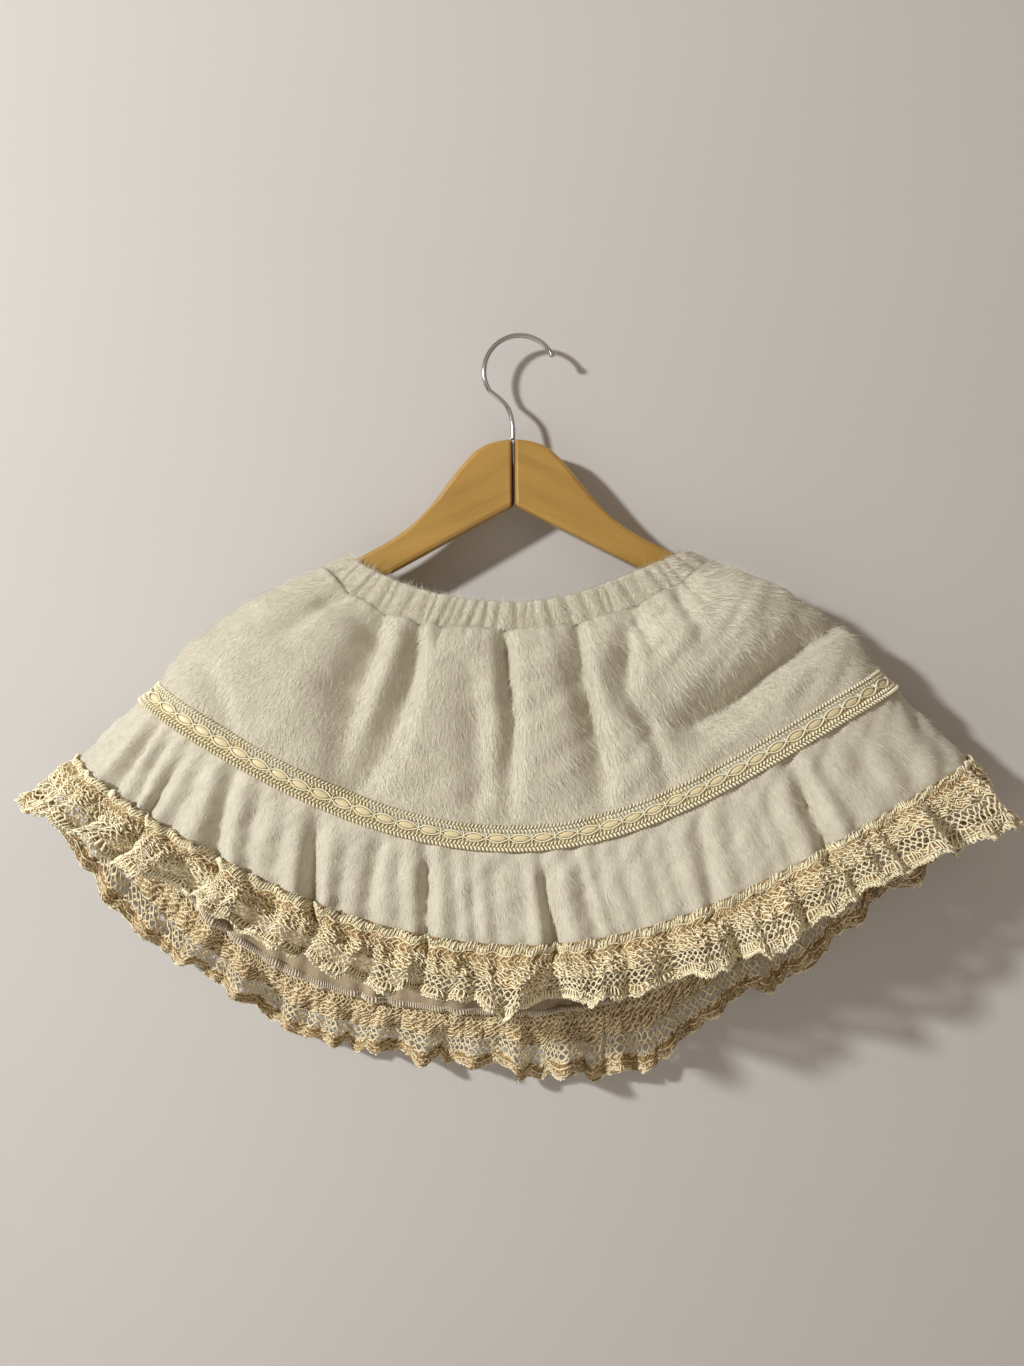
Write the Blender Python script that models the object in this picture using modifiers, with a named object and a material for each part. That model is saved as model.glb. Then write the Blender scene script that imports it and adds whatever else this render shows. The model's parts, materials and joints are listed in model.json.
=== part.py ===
"""A tiered lace mini skirt of white fleece, hanging on a flat wooden hanger.

Metres, +Z up, +X to the viewer's right, the front faces -Y. The origin is the
inner top of the hook's crook, where a nail or a rail carries the hanger.

Each tier is read from one table of rings. A ring is the line that the cloth
follows round the hanger at one level: its two side points, its lowest points
at the middle of the front and of the back, and how far these stand out. Folds,
gathers, ribs and flutes then move the cloth along its normal.
"""
import math

import bmesh
import bpy
import numpy as np

MM = 0.001

# The hanger: two wooden halves, as heights under the hook's seat
NECK_X = -4.3 * MM
NECK_Z = -73.7 * MM
HANGER_TILT = math.radians(1.0)
ARM_THICKNESS = 12.0 * MM
ARM_ROUNDING = 3.0 * MM
SEAT_GAP = 0.3 * MM
ARM_TOP_EDGE = (
    # out, height
    (0.0, -73.7),
    (12.3, -75.2),
    (27.0, -81.5),
    (42.2, -98.0),
    (56.2, -116.1),
    (69.9, -130.9),
    (88.0, -143.9),
    (108.0, -154.7),
    (150.0, -173.7),
    (192.0, -193.0),
)
ARM_END = (
    # out, height
    (202.0, -199.5),
    (207.0, -206.0),
    (208.0, -213.0),
    (204.0, -219.0),
    (196.0, -219.5),
)
ARM_UNDER_EDGE = (
    # out, height
    (88.0, -167.5),
    (0.0, -121.3),
)

# The hook: round wire bent to a crook above a stem
WIRE_RADIUS = 1.75 * MM
CROOK_RADIUS = 26.0 * MM
CROOK_X = 0.8 * MM
CROOK_START = math.radians(34.0)
CROOK_END = math.radians(212.0)
CROOK_POINTS = 18
STEM_ROUTE = (
    # x, height
    (-18.0, -40.6),
    (-12.2, -45.6),
    (-7.4, -51.6),
    (-5.0, -60.0),
    (-4.3, -67.0),
)
BALL_PROFILE = (0.6, 1.25, 1.45, 1.25)
BALL_STEP = 1.4 * MM

# The cloth walls
BAND_THICKNESS = 4.0 * MM
UPPER_THICKNESS = 3.0 * MM
RUFFLE_THICKNESS = 1.6 * MM
TRIM_THICKNESS = 1.4 * MM
LACE_THICKNESS = 1.4 * MM
SEAM_GAP = 0.3 * MM
ARM_CLEARANCE = 1.35 * MM
SMOOTH_ANGLE = math.radians(60)
MERGE_DISTANCE = 1e-6

# Levels of the ring table, from the waist down
BAND_TOP, BAND_BOTTOM, SHOULDER, ARM_TIP, HIP = range(5)
TRIM_TOP, TRIM_BOTTOM, RUFFLE_MIDDLE, LACE_TOP, HEM, LACE_EDGE = range(5, 11)
TRIM_MIDDLE = 0.5 * (TRIM_TOP + TRIM_BOTTOM)
LEVELS_ON_ARMS = (BAND_TOP, BAND_BOTTOM, SHOULDER, ARM_TIP)

# Millimetres, and the pinch of each quarter: 0 hangs as a bow, more is a narrower V.
# The side heights of the first four rings come from the arms they lie on.
RINGS = np.array((
    # left_x, left_z, right_x, right_z, front_z, back_z, front_y, back_y, pinches
    (-121.5, 0.0, 119.0, 0.0, -192.5, -256.0, -26.0, 16.0, -0.15, 0.45, 0.0, 0.0),
    (-139.0, 0.0, 137.0, 0.0, -212.5, -276.0, -28.0, 17.0, -0.70, -0.10, -0.2, -0.2),
    (-170.0, 0.0, 168.0, 0.0, -243.0, -309.0, -38.0, 19.0, -0.40, 0.00, -0.2, -0.1),
    (-200.0, 0.0, 197.0, 0.0, -277.0, -343.0, -42.0, 21.0, -0.10, 0.20, -0.1, 0.0),
    (-234.0, -222.5, 232.0, -213.0, -313.0, -378.0, -44.0, 22.0, 0.15, 0.35, -0.15, 0.1),
    (-254.5, -249.0, 253.5, -240.0, -345.0, -409.0, -45.5, 22.0, 0.27, 0.50, -0.25, 0.2),
    (-270.0, -262.5, 269.0, -254.0, -363.0, -427.0, -48.0, 22.0, 0.25, 0.50, -0.3, 0.25),
    (-291.0, -281.0, 292.0, -277.0, -392.3, -458.0, -54.0, 21.0, 0.22, 0.52, -0.45, 0.3),
    (-312.0, -300.5, 318.5, -301.5, -421.5, -489.0, -59.0, 19.0, 0.24, 0.53, -0.6, 0.33),
    (-321.5, -310.0, 325.5, -312.0, -435.5, -503.0, -61.5, 18.0, 0.29, 0.60, -0.65, 0.35),
    (-353.0, -339.5, 350.0, -352.5, -455.0, -537.5, -67.0, 16.0, 0.95, 0.98, -0.35, 0.35),
))
(LEFT_X, LEFT_Z, RIGHT_X, RIGHT_Z, FRONT_Z, BACK_Z, FRONT_Y, BACK_Y,
 FRONT_PINCH_LEFT, FRONT_PINCH_RIGHT, BACK_PINCH_LEFT, BACK_PINCH_RIGHT) = range(12)
FRONT_ROUNDNESS = 0.40
BACK_ROUNDNESS = 0.22
CURVE_SAMPLES = 721
# How far apart a ring is read to find which way the cloth faces
NORMAL_SHARE = 0.004
NORMAL_LEVELS = 0.1

# Ribs of the waistband: some stand less than others, and they bunch a little
FRONT_RIBS = 33
BACK_RIBS = 41
RIB_HEIGHT = 1.8 * MM
RIB_UNEVENNESS = 0.2
RIB_UNEVEN_WAVES = 5
RIB_BUNCHING = 0.1
RIB_BUNCH_WAVES = 7
BAND_ROWS = (
    # level, share of the rib height
    (0.0, 0.55),
    (0.5, 1.0),
    (0.985, 0.75),
)

# Folds of the upper tier, each a line along its valley, in millimetres. The first width is
# that of the flank to the viewer's left on a line that runs down, or above one that runs left.
FOLDS = {
    # x, z, first width, second width, depth
    "front": (
        (
            (-116.8, -185.0, 5.0, 4.0, 4.0),
            (-136.7, -196.0, 7.0, 5.0, 4.5),
            (-161.1, -212.5, 8.0, 6.0, 2.0),
        ),
        (
            (-90.1, -193.9, 9.0, 5.0, 4.5),
            (-96.7, -219.4, 18.0, 7.0, 9.0),
            (-110.0, -254.9, 22.0, 8.0, 9.5),
            (-119.8, -284.1, 16.0, 9.0, 4.5),
            (-127.0, -311.1, 12.0, 10.0, 1.5),
        ),
        (
            (-67.3, -207.7, 6.0, 4.0, 5.5),
            (-70.6, -233.1, 11.0, 6.0, 9.0),
            (-77.9, -261.7, 15.0, 7.0, 9.5),
            (-87.8, -290.9, 20.0, 8.0, 9.0),
            (-106.6, -317.9, 20.0, 9.0, 4.5),
            (-121.3, -327.9, 14.0, 9.0, 1.0),
        ),
        (
            (-9.8, -212.5, 5.0, 4.0, 6.5),
            (-7.0, -246.8, 7.0, 4.0, 8.0),
            (-3.6, -277.4, 8.0, 5.0, 7.0),
            (-5.7, -314.5, 10.0, 6.0, 4.5),
            (-7.7, -341.5, 8.0, 6.0, 1.5),
        ),
        (
            (39.5, -209.1, 5.0, 4.0, 6.0),
            (44.2, -239.9, 7.0, 4.0, 8.0),
            (50.8, -274.0, 10.0, 5.0, 8.5),
            (57.4, -304.4, 16.0, 6.0, 7.5),
            (58.6, -331.3, 14.0, 6.0, 3.0),
        ),
        (
            (32.0, -218.0, 7.0, 6.0, 2.0),
            (36.6, -246.8, 9.0, 6.0, 4.0),
            (39.9, -263.8, 8.0, 6.0, 1.5),
        ),
        (
            (74.4, -211.1, 8.0, 4.0, 3.0),
            (75.7, -229.7, 12.0, 5.0, 9.0),
            (74.1, -252.2, 12.0, 6.0, 7.0),
            (82.1, -268.5, 8.0, 6.0, 3.0),
            (93.5, -290.9, 6.0, 5.0, 3.5),
            (102.6, -324.6, 7.0, 6.0, 1.5),
        ),
        (
            (69.8, -189.1, 5.0, 4.0, 4.5),
            (80.6, -205.6, 5.0, 4.0, 4.0),
            (90.7, -227.6, 6.0, 5.0, 2.0),
        ),
        (
            (221.0, -209.8, 9.0, 6.0, 5.0),
            (200.2, -222.1, 12.0, 7.0, 9.0),
            (175.2, -241.3, 15.0, 8.0, 11.0),
            (150.3, -261.7, 19.0, 9.0, 11.5),
            (122.9, -275.3, 21.0, 10.0, 9.5),
            (92.3, -271.3, 14.0, 9.0, 4.0),
        ),
        (
            (198.1, -186.4, 14.0, 14.0, -2.0),
            (154.7, -200.1, 20.0, 20.0, -4.5),
            (116.9, -213.9, 18.0, 16.0, -3.5),
        ),
    ),
    "back": (
        (
            (-117.6, -197.7, 5.2, 3.4, 2.8),
            (-125.5, -224.7, 9.2, 6.0, 4.0),
            (-133.0, -256.6, 12.6, 8.2, 3.8),
            (-137.0, -289.7, 11.5, 7.5, 1.0),
        ),
        (
            (-85.1, -237.1, 7.2, 4.7, 5.2),
            (-100.4, -279.1, 12.9, 8.4, 7.5),
            (-115.0, -331.8, 17.7, 11.6, 7.1),
            (-116.3, -384.4, 16.1, 10.5, 1.9),
        ),
        (
            (-55.3, -259.3, 5.7, 3.7, 4.2),
            (-61.2, -292.2, 10.1, 6.6, 6.0),
            (-65.9, -331.4, 13.9, 9.1, 5.7),
            (-67.6, -374.5, 12.6, 8.2, 1.5),
        ),
        (
            (-17.3, -272.3, 6.2, 4.1, 5.2),
            (-19.7, -312.4, 11.0, 7.2, 7.5),
            (-21.8, -362.1, 15.2, 9.9, 7.1),
            (-20.8, -408.4, 13.8, 9.0, 1.9),
        ),
        (
            (18.0, -271.4, 5.7, 3.7, 4.2),
            (21.6, -305.9, 10.1, 6.6, 6.0),
            (24.8, -348.5, 13.9, 9.1, 5.7),
            (28.6, -391.3, 12.6, 8.2, 1.5),
        ),
        (
            (50.5, -259.5, 7.8, 5.1, 5.2),
            (61.4, -299.7, 13.8, 9.0, 7.5),
            (72.8, -350.2, 19.0, 12.4, 7.1),
            (77.2, -395.7, 17.2, 11.2, 1.9),
        ),
        (
            (80.3, -237.8, 5.2, 3.4, 4.2),
            (89.1, -262.1, 9.2, 6.0, 6.0),
            (96.8, -291.9, 12.6, 8.2, 5.7),
            (104.3, -324.5, 11.5, 7.5, 1.5),
        ),
        (
            (112.9, -199.1, 5.7, 3.7, 2.8),
            (124.0, -222.5, 10.1, 6.6, 4.0),
            (134.3, -250.6, 13.9, 9.1, 3.8),
            (143.2, -281.7, 12.6, 8.2, 1.0),
        ),
        (
            (129.5, -276.2, 10.3, 6.8, 3.8),
            (141.4, -296.3, 18.4, 12.0, 5.5),
            (150.3, -321.0, 25.3, 16.5, 5.2),
            (153.9, -342.9, 23.0, 15.0, 1.4),
        ),
    ),
}
FOLD_LEAST_WIDTH = 8.5
# The seam under the band holds the folds nearly flat
FOLD_RISE = (
    # level, share of the depth
    (1.0, 0.2),
    (1.45, 1.0),
)
UPPER_ROWS = (1.015, 1.3, 1.75, 2.4, 3.0, 4.0, 5.0, 5.49)
UPPER_COLUMNS = 42
# The cloth puffs out just under the band
PUFF_HEIGHT = 3.0 * MM
PUFF_LEVEL = 1.7
PUFF_SPREAD = 0.7
# All that moves the cloth fades out towards the side seams
SIDE_FADE = 14.0 * MM

# Gathers of the ruffle: where each valley starts under the trim and where it reaches the hem
GATHERS = (
    # trim_x, hem_x, depth_mm
    (-253.5, -308.0, 3.0),
    (-242.0, -286.0, 7.0),
    (-231.0, -265.0, 2.5),
    (-220.0, -250.5, 5.0),
    (-209.0, -237.0, 2.5),
    (-194.5, -212.0, 12.0),
    (-177.5, -184.5, 4.0),
    (-166.0, -173.0, 2.2),
    (-154.0, -163.0, 2.5),
    (-138.0, -146.0, 9.5),
    (-118.0, -124.0, 2.0),
    (-92.0, -105.0, 6.5),
    (-81.5, -86.0, 2.0),
    (-69.0, -68.0, 9.5),
    (-57.0, -54.0, 6.0),
    (-44.5, -43.0, 2.0),
    (-33.0, -33.0, 4.0),
    (-17.0, -12.0, 3.0),
    (0.0, 3.0, 2.0),
    (14.7, 19.0, 9.0),
    (34.0, 52.0, 6.0),
    (49.0, 68.0, 2.0),
    (61.0, 80.0, 3.5),
    (81.0, 94.0, 2.0),
    (94.0, 108.0, 3.0),
    (117.0, 124.0, 6.5),
    (136.0, 150.0, 3.0),
    (149.0, 166.0, 2.0),
    (161.0, 182.0, 3.0),
    (178.0, 206.0, 11.0),
    (196.0, 231.0, 2.2),
    (213.0, 254.0, 3.5),
    (233.0, 276.0, 2.5),
    (258.0, 303.0, 4.0),
)
BACK_GATHER_SHIFT = 5
RIDGE_SHARE = 0.45
RUFFLE_ROWS = (
    # level, share of the gather depth
    (5.51, 0.0),
    (6.0, 0.16),
    (6.9, 0.75),
    (9.0, 1.0),
)
SIDE_STEPS = (4.0 * MM, 9.5 * MM)

# The trim lies on the seam of the two tiers
TRIM_LIFT = 1.9 * MM

# The lace: flutes that widen to its edge, and open diamonds in one row
FLUTES = {
    "front": (
        # edge_x, half_width_mm, out_mm, down_mm
        (-318.0, 19.0, 8.0, 1.5),
        (-287.0, 17.0, 11.0, 6.0),
        (-258.0, 17.0, 9.0, 11.0),
        (-201.0, 19.0, 15.0, 11.5),
        (-167.0, 18.0, 11.0, 13.5),
        (-125.0, 21.0, 14.0, 12.0),
        (-87.0, 18.0, 10.0, 11.5),
        (-52.0, 18.0, 8.0, 6.5),
        (-11.0, 22.0, 14.0, 13.5),
        (51.0, 23.0, 14.0, 7.0),
        (84.0, 15.0, 8.0, 10.5),
        (124.0, 20.0, 12.0, 10.0),
        (168.0, 21.0, 13.0, 14.0),
        (208.0, 18.0, 9.0, 5.5),
        (243.0, 17.0, 8.0, 1.0),
        (278.0, 18.0, 12.0, 0.5),
        (322.0, 19.0, 9.0, 0.0),
    ),
    "back": (
        # edge_x, half_width_mm, out_mm, down_mm
        (-322.0, 16.0, 8.0, 11.5),
        (-296.0, 17.0, 10.0, 14.0),
        (-266.0, 17.0, 12.0, 11.5),
        (-230.0, 17.0, 8.0, 0.0),
        (-188.0, 20.0, 14.0, 6.5),
        (-156.0, 17.0, 9.0, 9.5),
        (-124.0, 18.0, 12.0, 2.5),
        (-90.0, 17.0, 9.0, 0.0),
        (-54.0, 19.0, 13.0, 0.5),
        (-16.0, 16.0, 8.0, 0.0),
        (12.0, 16.0, 12.0, 11.5),
        (57.0, 18.0, 14.0, 19.0),
        (96.0, 18.0, 11.0, 22.0),
        (131.0, 16.0, 8.0, 6.5),
        (163.0, 16.0, 10.0, 0.5),
        (200.0, 19.0, 14.0, 13.5),
        (236.0, 17.0, 9.0, 5.5),
        (272.0, 18.0, 11.0, 0.0),
        (315.0, 19.0, 9.0, 4.0),
    ),
}
FLUTE_POWER = 3
LACE_LIFT = 1.9 * MM
# The lace bridges hollows of the ruffle that are narrower than this on each side
LACE_BRIDGE = 6.0 * MM
LACE_FADE = 20.0 * MM
LACE_SAMPLES = 2001
HOLES_PER_SIDE = 104
HOLE_SHARE = 0.68
LACE_ROWS = (
    # level, share of the flute height, picot in mm
    (8.0, 0.0, 0.8),
    (9.38, 0.5, 0.0),
    (9.6, 0.7, 0.0),
    (10.0, 1.0, 2.2),
)
HOLE_ROW = 1

SIDES = ("front", "back")


def collection(name):
    """A new collection in the scene."""
    group = bpy.data.collections.new(name)
    bpy.context.scene.collection.children.link(group)
    return group


def finish(name, colour, roughness, metallic=0.0):
    """A plain Principled material."""
    material = bpy.data.materials.new(name)
    material.use_nodes = True
    shader = material.node_tree.nodes["Principled BSDF"]
    shader.inputs["Base Color"].default_value = (*colour, 1.0)
    shader.inputs["Roughness"].default_value = roughness
    shader.inputs["Metallic"].default_value = metallic
    return material


def place(obj, group, material):
    """Put an object in its collection with its material."""
    obj.data.materials.append(material)
    group.objects.link(obj)
    return obj


def through(points, steps):
    """A smooth line through the points, with the given steps between each two."""
    points = np.array(points, dtype=float)
    padded = np.vstack((2 * points[0] - points[1], points, 2 * points[-1] - points[-2]))
    line = []
    for a, b, c, d in zip(padded, padded[1:], padded[2:], padded[3:]):
        for t in np.arange(steps) / steps:
            line.append(catmull_rom(a, b, c, d, t))
    line.append(points[-1])
    return np.array(line)


def catmull_rom(a, b, c, d, t):
    """The point at t between b and c on the smooth curve through all four."""
    bend = (2 * a - 5 * b + 4 * c - d) * t + (3 * (b - c) + d - a) * t * t
    return b + 0.5 * t * ((c - a) + bend)


def tilted(out, height, side):
    """A point of the hanger's outline, turned about the neck as the hanger hangs."""
    dx = side * out * MM
    dz = height * MM - NECK_Z
    x = NECK_X + dx * math.cos(HANGER_TILT) - dz * math.sin(HANGER_TILT)
    z = NECK_Z + dx * math.sin(HANGER_TILT) + dz * math.cos(HANGER_TILT)
    return x, z


def arm_top_z(x):
    """The height of the hanger's upper edge at x."""
    side = 1 if x > NECK_X else -1
    outline = [tuple(point) for point in through(ARM_TOP_EDGE, 2)] + list(ARM_END[:2])
    edge = np.array([tilted(out, height, side) for out, height in outline])
    order = np.argsort(edge[:, 0])
    return float(np.interp(x, edge[order, 0], edge[order, 1]))


def seat_rings_on_arms():
    """Give the upper rings the side heights at which the cloth lies on the arms."""
    for level in LEVELS_ON_ARMS:
        wall = BAND_THICKNESS if level <= BAND_BOTTOM else UPPER_THICKNESS
        for x_column, z_column in ((LEFT_X, LEFT_Z), (RIGHT_X, RIGHT_Z)):
            seat = arm_top_z(RINGS[level, x_column] * MM) + ARM_CLEARANCE + wall / 2
            RINGS[level, z_column] = seat / MM


def ring_at(level):
    """The ring table's values at any level, smooth between its rows."""
    last = len(RINGS) - 1
    row = min(int(level), last - 1)
    a, b, c, d = (RINGS[min(max(row + step, 0), last)] for step in (-1, 0, 1, 2))
    return catmull_rom(a, b, c, d, level - row)


def ring_curve(level, side):
    """The ring's line across one side: share of its length, x, y and z in metres."""
    ring = ring_at(level) * MM
    pinches = ring_at(level)[FRONT_PINCH_LEFT:]
    front = side == "front"
    low_z, out_y = (ring[FRONT_Z], ring[FRONT_Y]) if front else (ring[BACK_Z], ring[BACK_Y])
    pinch_left, pinch_right = pinches[:2] if front else pinches[2:]
    roundness = FRONT_ROUNDNESS if front else BACK_ROUNDNESS
    across = -np.cos(np.linspace(0.0, math.pi, CURVE_SAMPLES))
    x = ring[LEFT_X] + (ring[RIGHT_X] - ring[LEFT_X]) * (across + 1) / 2
    side_z = ring[LEFT_Z] + (ring[RIGHT_Z] - ring[LEFT_Z]) * (across + 1) / 2
    drop = (ring[LEFT_Z] + ring[RIGHT_Z]) / 2 - low_z
    pinch = np.where(across < 0, pinch_left, pinch_right)
    z = side_z - drop * (1 - across ** 2) * (1 - pinch * across ** 2)
    y = out_y * np.maximum(1 - across ** 4, 0.0) ** roundness
    points = np.stack((x, y, z), axis=1)
    steps = np.linalg.norm(np.diff(points, axis=0), axis=1)
    share = np.concatenate(((0.0,), np.cumsum(steps)))
    return share / share[-1], points, share[-1]


def ring_points(level, shares, side):
    """Points of one ring at shares of its length, from the left side to the right."""
    share, points, _ = ring_curve(level, side)
    return np.stack([np.interp(shares, share, points[:, axis]) for axis in range(3)], axis=1)


def ring_normals(level, shares, side):
    """The cloth's outward direction at the same places."""
    low = ring_points(level, np.maximum(shares - NORMAL_SHARE, 0.0), side)
    high = ring_points(level, np.minimum(shares + NORMAL_SHARE, 1.0), side)
    above = ring_points(max(level - NORMAL_LEVELS, BAND_TOP), shares, side)
    below = ring_points(min(level + NORMAL_LEVELS, LACE_EDGE), shares, side)
    normals = np.cross(below - above, high - low)
    if side == "back":
        normals = -normals
    return normals / np.linalg.norm(normals, axis=1)[:, None]


def share_at_x(level, x, side):
    """The share of a ring's length at which it passes x, given in millimetres."""
    share, points, _ = ring_curve(level, side)
    return np.interp(np.asarray(x) * MM, points[:, 0], share)


def wall(name, outer, inner, closed=False, holes=()):
    """A wall between two grids of points, with its rims and the walls of its holes."""
    rows, columns = outer.shape[:2]
    corners = np.concatenate((outer.reshape(-1, 3), inner.reshape(-1, 3)))
    skin = rows * columns
    spans = columns if closed else columns - 1

    def corner(row, column):
        return row * columns + column % columns

    faces = []
    for row in range(rows - 1):
        for column in range(spans):
            loop = [corner(row, column), corner(row + 1, column),
                    corner(row + 1, column + 1), corner(row, column + 1)]
            if (row, column) in holes:
                for start, end in zip(loop, loop[1:] + loop[:1]):
                    faces.append((start, start + skin, end + skin, end))
                continue
            a, b, c, d = loop
            faces.extend(((a, b, c), (a, c, d)))
            a, b, c, d = (index + skin for index in loop)
            faces.extend(((a, c, b), (a, d, c)))
    for column in range(spans):
        for row, (start, end) in ((0, (column, column + 1)), (rows - 1, (column + 1, column))):
            a, b = corner(row, start), corner(row, end)
            faces.append((a, b, b + skin, a + skin))
    if not closed:
        for row in range(rows - 1):
            for column, (start, end) in ((0, (row + 1, row)), (columns - 1, (row, row + 1))):
                a, b = corner(start, column), corner(end, column)
                faces.append((a, b, b + skin, a + skin))
    mesh = bpy.data.meshes.new(name)
    mesh.from_pydata(corners.tolist(), [], faces)
    return mesh


def face_outward(shape):
    """Turn a closed shape's faces outward."""
    bmesh.ops.recalc_face_normals(shape, faces=shape.faces)
    if shape.calc_volume(signed=True) < 0:
        bmesh.ops.reverse_faces(shape, faces=shape.faces)


def outward(mesh):
    """Turn the faces outward and shade the round stretches smooth."""
    shape = bmesh.new()
    shape.from_mesh(mesh)
    face_outward(shape)
    shape.to_mesh(mesh)
    shape.free()
    mesh.shade_smooth()
    mesh.set_sharp_from_angle(angle=SMOOTH_ANGLE)


def open_side_seams(points, side):
    """Draw a panel's two side edges back from the side seams."""
    sign = -1 if side == "front" else 1
    for column in (0, -1):
        points[:, column, 1] = sign * SEAM_GAP / 2
    return points


def panel(name, side, rows, columns, moved, thickness, group, material, holes=(), lowered=0.0):
    """A panel's wall: rows of rings, moved out and down by the given grids of distances."""
    middle = np.stack([ring_points(level, shares, side) for level, shares in zip(rows, columns)])
    normal = np.stack([ring_normals(level, shares, side) for level, shares in zip(rows, columns)])
    for column in (0, -1):
        normal[:, column, 1] = 0.0
        normal[:, column] /= np.linalg.norm(normal[:, column], axis=1)[:, None]
    middle = middle + normal * moved[..., None]
    middle[..., 2] -= lowered
    outer = open_side_seams(middle + normal * thickness / 2, side)
    inner = open_side_seams(middle - normal * thickness / 2, side)
    mesh = wall(name, outer, inner, holes=holes)
    outward(mesh)
    return place(bpy.data.objects.new(name, mesh), group, material)


def waistband(group, material):
    """The gathered ring over its elastic: ribs outside, plain inside."""
    half = BAND_THICKNESS / 2
    outer, inner = [], []
    for level, height in BAND_ROWS:
        outside, inside = [], []
        for side, ribs in zip(SIDES, (FRONT_RIBS, BACK_RIBS)):
            shares = np.arange(2 * ribs) / (2 * ribs)
            uneven = np.sin(2 * math.pi * RIB_UNEVEN_WAVES * shares + 1.0)
            ribbing = np.arange(2 * ribs) % 2 * (1 - RIB_UNEVENNESS + RIB_UNEVENNESS * uneven)
            run = shares + RIB_BUNCHING / ribs * np.sin(2 * math.pi * RIB_BUNCH_WAVES * shares)
            if side == "back":
                run = 1 - run
            points = ring_points(level, run, side)
            normals = ring_normals(level, run, side)
            outside.append(points + normals * (half + ribbing * height * RIB_HEIGHT)[:, None])
            inside.append(points - normals * half)
        outer.append(np.concatenate(outside))
        inner.append(np.concatenate(inside))
    mesh = wall("waistband", np.array(outer), np.array(inner), closed=True)
    outward(mesh)
    return place(bpy.data.objects.new("waistband", mesh), group, material)


def fold_depths(level, shares, side):
    """How far the folds of the upper tier draw the cloth in at one ring."""
    share, curve, _ = ring_curve(level, side)
    x, z = (np.interp(shares, share, curve[:, axis]) / MM for axis in (0, 2))
    drawn = np.zeros(len(shares))
    for fold in FOLDS[side]:
        deepest = np.zeros(len(shares))
        for start, end in zip(np.array(fold), np.array(fold[1:])):
            run, rise = end[:2] - start[:2]
            along = ((x - start[0]) * run + (z - start[1]) * rise) / (run * run + rise * rise)
            along = np.clip(along, 0.0, 1.0)
            _, _, first, second, depth = start[:, None] + (end - start)[:, None] * along
            off_x = x - start[0] - run * along
            off_z = z - start[1] - rise * along
            width = np.where(off_x * rise - off_z * run > 0, first, second)
            width = np.maximum(width, FOLD_LEAST_WIDTH)
            here = depth * np.exp(-(off_x ** 2 + off_z ** 2) / width ** 2)
            deepest = np.where(np.abs(here) > np.abs(deepest), here, deepest)
        drawn += deepest
    return drawn * MM


def side_fade(level, shares, side, reach=SIDE_FADE):
    """From 0 at the side seams to 1 a little way in."""
    length = ring_curve(level, side)[2]
    near = np.minimum(shares, 1 - shares) * length
    return np.clip(near / reach, 0.0, 1.0)


def upper_panel(side, group, material):
    """One half of the upper tier, puffed under the band and drawn in at its folds."""
    columns, moved = [], []
    for level in UPPER_ROWS:
        length = ring_curve(level, side)[2]
        steps = np.array(SIDE_STEPS) / length
        inside = np.linspace(0.0, 1.0, UPPER_COLUMNS + 1)[1:-1]
        inside = steps[-1] + inside * (1 - 2 * steps[-1])
        shares = np.concatenate(((0.0,), steps, inside, 1 - steps[::-1], (1.0,)))
        puff = PUFF_HEIGHT * math.exp(-((level - PUFF_LEVEL) / PUFF_SPREAD) ** 2)
        fade = side_fade(level, shares, side)
        columns.append(shares)
        risen = np.interp(level, *zip(*FOLD_RISE))
        moved.append((puff - risen * fold_depths(level, shares, side)) * fade)
    return panel("upper_" + side, side, UPPER_ROWS, columns, np.array(moved),
                 UPPER_THICKNESS, group, material)


def gather_stations(level, side):
    """Shares of the side's valleys and ridges at one level, with their depths."""
    along = np.clip((level - TRIM_MIDDLE) / (HEM - TRIM_MIDDLE), 0.0, 1.0)
    table = np.array(GATHERS)
    if side == "back":
        table = table[::-1] * (-1.0, -1.0, 1.0)
        table[:, 2] = np.roll(table[:, 2], BACK_GATHER_SHIFT)
    ring = ring_at(level)

    def across(x, end):
        return (x - end[LEFT_X]) / (end[RIGHT_X] - end[LEFT_X])

    at_trim = across(table[:, 0], ring_at(TRIM_MIDDLE))
    at_hem = across(table[:, 1], ring_at(HEM))
    place_across = at_trim * (1 - along) + at_hem * along
    valley_x = ring[LEFT_X] + place_across * (ring[RIGHT_X] - ring[LEFT_X])
    valleys = share_at_x(level, valley_x, side)
    ridges = (valleys[1:] + valleys[:-1]) / 2
    depth = table[:, 2] * MM
    height = -RIDGE_SHARE * (depth[1:] + depth[:-1]) / 2
    shares = np.empty(len(valleys) + len(ridges))
    drawn = np.empty_like(shares)
    shares[::2], shares[1::2] = valleys, ridges
    drawn[::2], drawn[1::2] = depth * (1 - RIDGE_SHARE), height
    steps = np.array(SIDE_STEPS) / ring_curve(level, side)[2]
    steps = steps[steps < min(shares[0], 1 - shares[-1])]
    shares = np.concatenate(((0.0,), steps, shares, 1 - steps[::-1], (1.0,)))
    none = np.zeros(len(steps) + 1)
    return shares, np.concatenate((none, drawn, none))


def ruffle_panel(side, group, material):
    """One half of the lower tier, gathered under the trim."""
    columns, moved = [], []
    levels = [level for level, _ in RUFFLE_ROWS]
    for level, share_of_depth in RUFFLE_ROWS:
        shares, drawn = gather_stations(level, side)
        columns.append(shares)
        moved.append(-drawn * share_of_depth)
    return panel("ruffle_" + side, side, levels, columns, np.array(moved),
                 RUFFLE_THICKNESS, group, material)


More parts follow.
